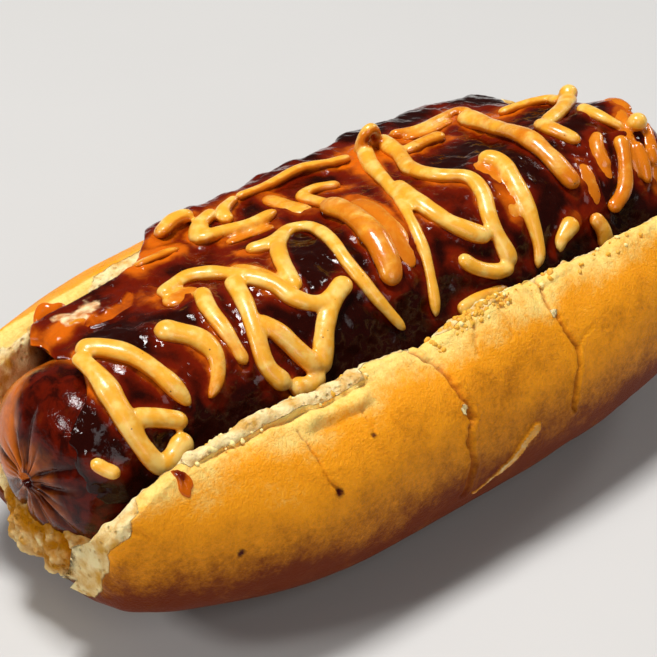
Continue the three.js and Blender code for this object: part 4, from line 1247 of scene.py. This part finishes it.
def new_tube(centres, radius, stain, x, flat=1.0, tail=1.1):
    """Centre line with its radius and stain at every point, the share of its height that is
    left, the length of its tail in radii, and its piece: -1 for the left one, 1 for the right."""
    along = np.ones(len(centres))
    side = 1 if np.mean(x) > PIECES_MEET else -1
    return {"centres": centres, "radius": radius * along, "stain": stain * along, "side": side,
            "flat": flat, "tail": tail}


def strand_tube(strand, number, full_radius):
    """Strand through its places, uneven in thickness, with a longer tail if it thins out. It
    lies higher where the sauce is thick, low on the near side."""
    x, a = np.array(strand["path"], dtype=float).T
    r0, r1 = (share * full_radius for share in strand["size"])
    lift = STRAND_LIFT * min(r0, r1) + 0.05 + 0.7 * ramp(-14.0, -20.0, a)
    centres = smooth_path(on_topping(x, a, lift), STRAND_STEP)
    t = np.linspace(0.0, 1.0, len(centres))
    wobble = 1.0 + 0.2 * rough(centres + 7.0 * number, 5.0, 131, 2)
    tail = 1.2 + 1.6 * ramp(1.0, 0.75, r1 / r0)
    return new_tube(centres, mix(r0, r1, t) * wobble, mix(*strand["stain"], t), x, 0.76, tail)


def smear_tube(smear, number):
    """Low smear, widest in the middle by a superellipse."""
    x, a = np.array(smear["path"], dtype=float).T
    centres = smooth_path(on_topping(x, a, np.full(len(x), 0.1)), STRAND_STEP)
    t = np.linspace(-1.0, 1.0, len(centres))
    shape = mix(0.6, 1.0, rounded(t, 2.5)) * (1.0 + 0.12 * rough(centres, 4.0, 141 + number, 2))
    return new_tube(centres, smear["width"] * shape, smear["stain"], x, 0.42, 1.5)


def standing_loop(loop):
    """Half circle that stands on the far edge: cosine along the roll, sine upwards."""
    foot = on_topping(loop["x"], loop["a"], 0.0)
    t = np.linspace(0.0, np.pi, 30)
    rise = loop["height"] - loop["radius"]
    offset = [-loop["reach"] * np.cos(t), -loop["lean"] * np.sin(t), rise * np.sin(t) - 0.5]
    return new_tube(foot + np.stack(offset, axis=-1), loop["radius"], 0.35, loop["x"])


def knob_tube(knob):
    """Short thick blob along the roll."""
    reach = np.linspace(-1.1, 1.1, 16) * knob["radius"]
    centres = on_topping(knob["x"], knob["a"], knob["lift"]) + along_x(reach)
    return new_tube(centres, knob["radius"], 0.15, knob["x"])


def from_root(y, z):
    """Unit vector in y and z away from the line that strands are flattened towards."""
    out = np.stack([y, z - STRAND_ROOT_Z], axis=-1)
    return out / np.linalg.norm(out, axis=-1, keepdims=True)


def tube_rings(tube, columns):
    """Rings carried along the centre line, flattened towards the surface below, with radii that
    close at both ends as a quarter circle."""
    centres, radius = tube["centres"], tube["radius"]
    ahead = np.gradient(centres, axis=0)
    ahead /= np.linalg.norm(ahead, axis=1, keepdims=True)
    out = np.zeros_like(centres)
    out[:, 1:] = from_root(centres[:, 1], centres[:, 2])
    out -= np.sum(out * ahead, axis=1, keepdims=True) * ahead
    out /= np.linalg.norm(out, axis=1, keepdims=True)
    across = np.cross(ahead, out)
    walked = walked_length(centres)
    start = 1.0 - np.clip(walked / (1.1 * radius), 0.0, 1.0)
    tail = 1.0 - np.clip((walked[-1] - walked) / (tube["tail"] * radius), 0.0, 1.0)
    closing = np.sqrt(np.clip(1.0 - start ** 2, 0.02, 1.0) * np.clip(1.0 - tail ** 2, 0.02, 1.0))
    angle = circle_angles(columns)[None, :, None]
    r = (radius * closing)[:, None, None]
    return (centres[:, None, :] + across[:, None, :] * r * np.cos(angle)
            + out[:, None, :] * r * np.sin(angle) * tube["flat"])


def merged_tubes(name, tubes, voxel):
    """One skin round all tubes: a voxel remesh of the joined tubes, smoothed. Every vertex then
    takes the stain of the centre lines near it, and how far it lies below them."""
    columns = 16
    points, quads, caps, first = [], [], [], 0
    for tube in tubes:
        rings = tube_rings(tube, columns)
        rows = len(rings)
        body = ring_quads(rows, columns)
        ends = end_caps(rows, columns)
        flat = rings.reshape(-1, 3)
        if signed_volume(flat, body, ends) < 0:
            body = body[:, ::-1]
            ends = [end[::-1] for end in ends]
        points.append(flat)
        quads.append(body + first)
        caps += [end + first for end in ends]
        first += len(flat)
    rough_piece = fill_mesh(name + "_tubes", np.concatenate(points), np.concatenate(quads), caps)
    remesh = rough_piece.modifiers.new("merge", "REMESH")
    remesh.mode = "VOXEL"
    remesh.voxel_size = voxel * MM
    smooth = rough_piece.modifiers.new("smooth", "SMOOTH")
    smooth.factor = 0.5
    smooth.iterations = 4
    graph = bpy.context.evaluated_depsgraph_get()
    mesh = bpy.data.meshes.new_from_object(rough_piece.evaluated_get(graph))
    mesh.name = name
    bpy.data.objects.remove(rough_piece)
    mesh.shade_smooth()
    co = np.empty(len(mesh.vertices) * 3, dtype=np.float32)
    mesh.vertices.foreach_get("co", co)
    points = co.reshape(-1, 3) / MM
    places = joined(tubes, "centres")
    stain = nearest_values(points, places, joined(tubes, "stain"))
    centre = np.stack([nearest_values(points, places, places[:, k]) for k in (1, 2)], axis=-1)
    below = -np.sum((points[:, 1:] - centre) * from_root(*centre.T), axis=-1)
    # foot is 1 on the lower flanks of a strand, whose colour there is partly sauce creeping up and partly
    # painted shade.
    add_layers(mesh, {"stain": stain, "foot": ramp(-0.6, 0.9, below)})
    return add_object(name, mesh)


def joined(tubes, key):
    """The values of all tubes in one array."""
    return np.concatenate([tube[key] for tube in tubes])


def nearest_values(points, places, values):
    """Average of the values at places around each point, weighted by a bell curve of distance."""
    spread = 1.2

    def average(block):
        gap = ((block[:, None, :] - places) ** 2).sum(axis=-1)
        weight = np.exp((gap.min(axis=1, keepdims=True) - gap) / spread ** 2)
        return (weight * values).sum(axis=1) / weight.sum(axis=1)
    return in_blocks(points, average)


def mustard_material(settings):
    """Glossy mustard with fine dark specks, orange-brown where the sauce coats it and on the lower flanks of
    the strands, there partly as sauce creeping up and partly as painted shade.
    """
    s = Shader("mustard")
    stain = s.attribute("stain")
    drift = s.noise(6.0, 3.0, 0.55, 0.6)
    streak = s.noise(2.0, 3.0, 0.6, 0.8)
    # Sauce coat, plus painted shade on the lower flanks.
    coat_and_shade = stain * 0.85 + (drift - 0.5) * 1.0 + (streak - 0.5) * 0.4 + s.attribute("foot") * 1.15
    clean = s.blend(s.step(s.noise(2.2, 2.0), 0.4, 0.7), settings.yellow, settings.pale)
    colour = s.blend(s.step(coat_and_shade, 0.2, 0.7), clean, settings.stain)
    colour = s.blend(s.step(coat_and_shade, 0.85, 1.5), colour, settings.deep)
    chance = s.step(s.noise(3.0, 1.0), 0.5, 0.6)
    specks = s.step(s.cells(1.9), 0.085, 0.05) * chance
    colour = s.blend(specks * 0.85, colour, settings.speck)
    lumps = s.relief(s.noise(1.6, 3.0, 0.6), 0.25, 0.35)
    return s.surface(
        Base_Color=colour,
        Roughness=0.32 - s.step(coat_and_shade, 0.2, 0.8) * 0.14,
        Normal=lumps,
        Coat_Weight=0.15,
        Coat_Roughness=0.12,
        Specular_IOR_Level=0.5,
        Subsurface_Weight=0.15,
        Subsurface_Radius=(1.0, 0.55, 0.12),
        Subsurface_Scale=0.0015,
    )


# ---- sauce ----

# Lens of clear sauce with a raised rim, and a patch where crumb shows through, by (x, a).
CLEAR_LENS = {"path": [(-45.8, 8.2), (-42.8, 8.0), (-38.6, 8.6), (-35.8, 10.8)], "width": 1.5,
              "middle": -40.8, "half": 5.4}
BARE = {"path": [(-46.2, 11.4), (-41.5, 12.4)], "width": 3.4}

# Drips on the crust: name, side, centre, half sizes along the roll and across the edge, height.
DRIPS = [
    {"name": "drip_near", "near": True, "x": -56.2, "at": 0.9, "long": 1.1, "across": 2.3, "high": 0.4},
    {"name": "drip_far", "near": False, "x": -52.0, "at": -3.6, "long": 3.0, "across": 3.0, "high": 1.7},
]


class SauceSettings(bpy.types.PropertyGroup):
    """Sizes and colours of the sauce."""
    ripple: size_property("Ripples", "Height of the lumps of the surface", 0.3, 0.0, 0.8)
    thick: colour_property("Thick sauce", "Deep sauce, nearly black", 36, 5, 2)
    red: colour_property("Red sauce", "Medium layer of sauce", 104, 21, 3)
    thin: colour_property("Thin sauce", "Film of sauce over something pale", 206, 96, 10)
    bare: colour_property("Bare crumb", "Crumb that shows through", 248, 222, 172)
    film: colour_property("Stained crumb", "Crumb under a film of sauce", 196, 112, 40)


class HOTDOG_OT_sauce(bpy.types.Operator):
    """Build the coat of sauce and its drips on the crust"""
    bl_idname = "hotdog.sauce"
    bl_label = "Sauce"

    def execute(self, context):
        settings = context.scene.hotdog_sauce
        tubes = mustard_tubes(context.scene.hotdog_mustard)
        material = sauce_material(settings)
        piece = fill_mesh("sauce_coat", *sauce_mesh(settings, tubes))
        finish_piece(piece, material, ["sauce"])
        for drip in DRIPS:
            finish_piece(fill_mesh(drip["name"], *drip_mesh(drip)), material, ["sauce"])
        return {"FINISHED"}


def sauce_far_edge(x):
    """How far the sauce reaches: short of the far rim on the left, over it from there on."""
    rim = far_rim(x)[0]
    over = rim + 3.6 + 0.8 * np.sin(x * 0.31) + 0.5 * np.sin(x * 0.83)
    bare = mix(9.0, rim - 3.5, ramp(-57.0, -50.0, x))
    return mix(bare, over, ramp(-31.0, -21.0, x))


def sauce_mesh(settings, tubes):
    """Blanket over the topping surface: its upper side stands on it by ripples and by a rise
    against every strand, its rim closes by a superellipse, its underside is sunk below."""
    stations, columns, under = 430, 190, 10
    u = np.linspace(0.0, 1.0, stations)[:, None]
    w = np.linspace(0.0, 1.0, columns)
    slant = mix(SAUCE_NEAR_EDGE, SAUCE_FAR_EDGE, w)
    left = SAUCE_ENDS[0] + 9.5 * ramp(-5.0, 9.0, slant) + 2.0 * ramp(-17.0, -25.0, slant)
    left = left + 0.3 * np.sin(slant * 0.7)
    right = SAUCE_ENDS[1] - 5.5 * ramp(2.0, 14.0, slant) + 0.8 * np.sin(slant * 0.6 + 2.0)
    x = mix(left, right, u)
    a = mix(SAUCE_NEAR_EDGE, sauce_far_edge(x), w)
    points, out = coat_surface(x, a)
    gap = edge_distance(points.reshape(-1, 3), joined(tubes, "centres"), joined(tubes, "radius"))
    gap = np.maximum(gap, 0.0).reshape(x.shape)
    lens = lens_distance(x, a)

    flat_place = np.stack([x, a, 0.0 * x], axis=-1)
    ripple = rough(flat_place, 3.4, 151, 3) + 0.5 * np.abs(rough(flat_place, 6.0, 161, 2))
    height = 0.05 + settings.ripple * ripple + 0.12 * rough(flat_place, 1.7, 175, 2)
    height += 0.32 * np.exp(-gap / 0.8) + 0.45 * bump(lens, 1.0, 0.22)
    height += 2.2 * ramp(-17.5, -23.5, a) * ramp(-60.0, -50.0, x) * ramp(61.0, 55.0, x)
    height -= 1.25 * ramp(-54.0, -61.0, x) * ramp(6.0, 2.0, a)
    inner = np.minimum(rounded(2.0 * u - 1.0, 9.0), rounded(2.0 * w - 1.0, 8.0))
    lift = mix(-1.1 * SAUCE_THICKNESS, height, inner)
    top = points + out * lift[..., None]
    pick = np.rint(np.linspace(1.0, 0.0, under + 2)[1:-1] * (columns - 1)).astype(int)
    bottom = points[:, pick] - out[:, pick] * 0.9 * SAUCE_THICKNESS
    grid = np.concatenate([top, bottom], axis=1)

    ragged = 0.4 * rough(flat_place, 3.0, 231, 3)
    bare = ramp(1.1, 0.3, distance_to_path(x, a, BARE["path"]) / BARE["width"] + ragged)
    underside = [(0, 0), (0, under)]
    layers = {"thin": np.pad(thin_share(x, a, gap, lens), underside), "bare": np.pad(bare, underside)}
    rows, ring = grid.shape[:2]
    return grid.reshape(-1, 3), ring_quads(rows, ring), end_caps(rows, ring), layers


def lens_distance(x, a):
    """Distance from the path of the clear lens in its half widths, which shrink to 0 at both
    ends: below 1 inside it."""
    taper = rounded((x - CLEAR_LENS["middle"]) / CLEAR_LENS["half"], 2.0)
    return distance_to_path(x, a, CLEAR_LENS["path"]) / (CLEAR_LENS["width"] * taper + 1e-3)


def thin_share(x, a, gap, lens):
    """0 for thick sauce to 1 for a film: thin against the strands, in broad patches, towards
    the far side and the far left corner, and inside the lens."""
    wide = rough(np.stack([x, a, 0.0 * x], axis=-1), 9.0, 171, 3)
    thin = 0.1 + 0.6 * np.exp(-gap / 1.6) + 0.34 * wide
    thin += 0.25 * ramp(3.0, 14.0, a) - 0.25 * ramp(-4.0, -16.0, a)
    thin += 0.5 * ramp(-48.0, -55.0, x) * ramp(-4.0, 5.0, a)
    return np.clip(np.maximum(thin, 0.82 * ramp(1.2, 0.7, lens)), 0.0, 1.0)


def edge_distance(points, places, radii):
    """Distance from each point to the nearest ball about the places, minus its radius."""
    def nearest(block):
        return (np.sqrt(((block[:, None, :] - places) ** 2).sum(axis=-1)) - radii).min(axis=1)
    return in_blocks(points, nearest)


def drip_mesh(drip):
    """Flat dome on the roll's edge: height is a superellipse of the distance from its centre;
    the base runs over crust and torn edge alike."""
    rows, columns = 40, 60
    radius = np.linspace(0.0, 1.0, rows)[1:, None]
    angle = circle_angles(columns)
    uneven = 1.0 + 0.12 * np.sin(3.0 * angle + 1.0) + 0.08 * np.sin(5.0 * angle)
    x = drip["x"] + drip["long"] * radius * np.cos(angle) * uneven
    across = drip["at"] + drip["across"] * radius * np.sin(angle) * uneven
    base, out = edge_surface(x, across, drip["near"])
    high = drip["high"] * rounded(radius, 2.6) * (1.0 + 0.1 * np.sin(2.0 * angle))
    top = base + out * (high - 0.12)[..., None]
    bottom = base - out * 0.6
    grid = np.concatenate([bottom, top[::-1]], axis=0)
    thin = np.clip(1.1 - 0.4 * rounded(radius, 2.0) + 0.2 * np.sin(angle), 0.0, 1.0)
    layers = {"thin": np.concatenate([thin, thin[::-1]], axis=0)}
    total = len(grid)
    return grid.reshape(-1, 3), ring_quads(total, columns), end_caps(total, columns), layers


def edge_surface(x, across, near):
    """Points and outward directions on the roll at a distance across its cut edge: positive
    down the crust, negative over the torn edge and, past its width, on down the cut face."""
    u = np.clip(x / ROLL_HALF_LENGTH, -0.97, 0.97)[..., None]
    line = np.linspace(0.0, 0.2, 120)
    v = line if near else 1.0 - line
    crust = roll_walls(u, v)[0]
    face = roll_walls(u, v[:1])[1]
    steps = np.linalg.norm(np.diff(crust, axis=2), axis=-1)
    down = np.concatenate([np.zeros(x.shape + (1,)), np.cumsum(steps, axis=-1)], axis=-1)
    k = np.clip((across[..., None] > down).sum(axis=-1), 1, len(v) - 1)
    i, j = np.meshgrid(np.arange(x.shape[0]), np.arange(x.shape[1]), indexing="ij")
    low, high = down[i, j, k - 1], down[i, j, k]
    t = np.clip((across - low) / (high - low), 0.0, 1.0)[..., None]
    on_crust = mix(crust[i, j, k - 1], crust[i, j, k], t)
    share = np.clip(-across / CRUMB_WIDTH, 0.0, 2.5)[..., None]
    bulge = EDGE_BULGE * np.sin(np.pi * np.clip(share, 0.0, 1.0))
    sag = 1.2 * np.maximum(share - 1.0, 0.0) ** 2
    on_edge = mix(crust[:, :, 0], face[:, :, 0], share) + [0.0, 0.0, 1.0] * (bulge - sag)
    points = np.where(across[..., None] >= 0.0, on_crust, on_edge)
    side = -1.0 if near else 1.0
    tilt = np.clip(0.35 + 0.16 * across, 0.0, 1.2)
    return points, np.stack([0.0 * x, side * np.sin(tilt), np.cos(tilt)], axis=-1)


def sauce_material(settings):
    """Sticky sauce, nearly black where deep, red where medium, orange where it is a film."""
    s = Shader("sauce")
    thin = s.attribute("thin") + (s.noise(2.4, 4.0, 0.6, 0.4) - 0.5) * 0.5
    colour = s.blend(s.step(thin, 0.15, 0.6), settings.thick, settings.red)
    colour = s.blend(s.step(thin, 0.55, 1.0), colour, settings.thin)
    fine = s.noise(0.9, 3.0, 0.55, 0.4)
    patches = s.step(s.noise(5.0, 2.0), 0.48, 0.62)
    bare = s.step(s.attribute("bare") + (s.noise(1.6, 4.0, 0.6) - 0.5) * 0.8, 0.3, 0.8)
    crumb = s.blend(s.step(s.noise(1.5, 4.0), 0.3, 0.75), settings.bare, settings.film)
    colour = s.blend(bare, colour, crumb)
    height = fine * (0.35 + 0.65 * patches)
    return s.surface(
        Base_Color=colour,
        Roughness=0.07 + patches * 0.07 + bare * 0.2,
        Normal=s.relief(height, 0.3, 0.6),
        Coat_Weight=0.1,
        Coat_Roughness=0.03,
        Specular_IOR_Level=0.2,
        Subsurface_Weight=0.05,
        Subsurface_Radius=(1.0, 0.2, 0.05),
        Subsurface_Scale=0.0015,
    )


# ---- stage ----

class StageSettings(bpy.types.PropertyGroup):
    """Floor, lights and camera."""
    floor: colour_property("Floor", "Plain floor", 200, 198, 195)
    key: power_property("Main light", "Power of the light high up behind", 13.5)
    side: power_property("Side light", "Power of the light from the left, and scale of the right one", 3.6)
    fill: power_property("Fill light", "Power of the large light from the near side", 2.7)
    turn: FloatProperty(name="Camera turn", description="Direction of view about the vertical",
                        default=np.radians(42.4), subtype="ANGLE")
    pitch: FloatProperty(name="Camera pitch", description="Angle of the view below the horizon",
                         default=np.radians(34.25), subtype="ANGLE")
    distance: FloatProperty(name="Camera distance", description="From the point looked at",
                            default=0.387, unit="LENGTH")
    lens: FloatProperty(name="Lens", description="Focal length in millimetres",
                        default=136.9863, unit="CAMERA")


# Lights in metres: place, side length and share of the power of the setting named last.
LIGHTS = {
    "light_top": ((-0.05, 0.16, 1.15), 0.28, 1.0, "key"),
    "light_left": ((-0.9, 0.15, 0.7), 0.18, 1.0, "side"),
    "light_right": ((1.0, 0.05, 0.5), 0.2, 0.43, "side"),
    "light_front": ((-0.3, -0.9, 0.7), 0.6, 1.0, "fill"),
}
LIT_POINT = (0.0, 0.0, 0.025)
FLOOR_REACH = 3.0           # half the width of the floor, in metres
# Point the camera looks at, in millimetres, and the width of its sensor.
LOOKED_AT = (-8.8, -3.5, 28.7)
SENSOR_WIDTH = 36.0


class HOTDOG_OT_stage(bpy.types.Operator):
    """Set up floor, lights and camera"""
    bl_idname = "hotdog.stage"
    bl_label = "Stage"

    def execute(self, context):
        settings = context.scene.hotdog_stage
        add_floor(settings)
        for name, (place, size, share, power) in LIGHTS.items():
            add_light(name, place, size, share * getattr(settings, power))
        add_world(context.scene)
        add_camera(context.scene, settings)
        return {"FINISHED"}


def add_floor(settings):
    """Large flat sheet with a faint mottle."""
    corners = [(FLOOR_REACH * x, FLOOR_REACH * y, 0.0) for x, y in ((-1, -1), (1, -1), (1, 1), (-1, 1))]
    mesh = bpy.data.meshes.new("floor")
    mesh.from_pydata(corners, [], [(0, 1, 2, 3)])
    s = Shader("floor")
    tone = tuple(c * 0.97 for c in settings.floor)
    colour = s.blend(s.noise(40.0, 3.0), settings.floor, tone)
    mesh.materials.append(s.surface(Base_Color=colour, Roughness=0.7))
    floor = add_object("floor", mesh)


def add_light(name, place, size, power):
    """Square soft light that faces the hot dog."""
    light = bpy.data.lights.new(name, "AREA")
    light.size = size
    light.energy = power
    add_object(name, light).matrix_world = looking(place, np.subtract(LIT_POINT, place))


def looking(place, towards):
    """Matrix at a place whose -Z points towards a direction, with no roll."""
    back = -np.asarray(towards) / np.linalg.norm(towards)
    right = np.cross([0.0, 0.0, 1.0], back)
    right /= np.linalg.norm(right)
    up = np.cross(back, right)
    matrix = np.eye(4)
    matrix[:3, 0], matrix[:3, 1], matrix[:3, 2], matrix[:3, 3] = right, up, back, place
    return Matrix(matrix.tolist())


def add_world(scene):
    """Even pale surroundings."""
    world = bpy.data.worlds.new("surroundings")
    world.use_nodes = True
    background = world.node_tree.nodes["Background"]
    background.inputs["Color"].default_value = (1.0, 0.98, 0.95, 1.0)
    background.inputs["Strength"].default_value = 0.07
    scene.world = world
    scene.view_settings.view_transform = "Standard"


def add_camera(scene, settings):
    """Camera that looks at a point above the middle of the hot dog."""
    turn, pitch = settings.turn, settings.pitch
    ahead = np.array([np.sin(turn) * np.cos(pitch), np.cos(turn) * np.cos(pitch), -np.sin(pitch)])
    place = np.array(LOOKED_AT) * MM - ahead * settings.distance
    data = bpy.data.cameras.new("camera")
    data.sensor_width = SENSOR_WIDTH
    data.lens = settings.lens
    scene.camera = add_object("camera", data)
    scene.camera.matrix_world = looking(place, ahead)


# ---- add-on ----

OPERATORS = (HOTDOG_OT_roll, HOTDOG_OT_crumbs, HOTDOG_OT_sausage, HOTDOG_OT_mustard,
             HOTDOG_OT_sauce, HOTDOG_OT_stage)
SETTINGS = {
    "hotdog_roll": RollSettings,
    "hotdog_crumbs": CrumbSettings,
    "hotdog_sausage": SausageSettings,
    "hotdog_mustard": MustardSettings,
    "hotdog_sauce": SauceSettings,
    "hotdog_stage": StageSettings,
}


class HOTDOG_PT_panel(bpy.types.Panel):
    """Sidebar with the settings and buttons of every piece"""
    bl_label = "Hot Dog"
    bl_idname = "HOTDOG_PT_panel"
    bl_space_type = "VIEW_3D"
    bl_region_type = "UI"
    bl_category = "Hot Dog"

    def draw(self, context):
        for operator, key in zip(OPERATORS, SETTINGS):
            box = self.layout.box()
            settings = getattr(context.scene, key)
            for name in settings.bl_rna.properties.keys():
                if name not in ("rna_type", "name"):
                    box.prop(settings, name)
            box.operator(operator.bl_idname)


def register():
    for group in SETTINGS.values():
        bpy.utils.register_class(group)
    for key, group in SETTINGS.items():
        setattr(bpy.types.Scene, key, PointerProperty(type=group))
    for operator in OPERATORS:
        bpy.utils.register_class(operator)
    bpy.utils.register_class(HOTDOG_PT_panel)


def unregister():
    bpy.utils.unregister_class(HOTDOG_PT_panel)
    for operator in reversed(OPERATORS):
        bpy.utils.unregister_class(operator)
    for key in SETTINGS:
        delattr(bpy.types.Scene, key)
    for group in reversed(SETTINGS.values()):
        bpy.utils.unregister_class(group)


def main():
    register()
    bpy.ops.hotdog.roll()
    bpy.ops.hotdog.crumbs()
    bpy.ops.hotdog.sausage()
    bpy.ops.hotdog.mustard()
    bpy.ops.hotdog.sauce()
    bpy.ops.hotdog.stage()


if __name__ == "__main__":
    main()
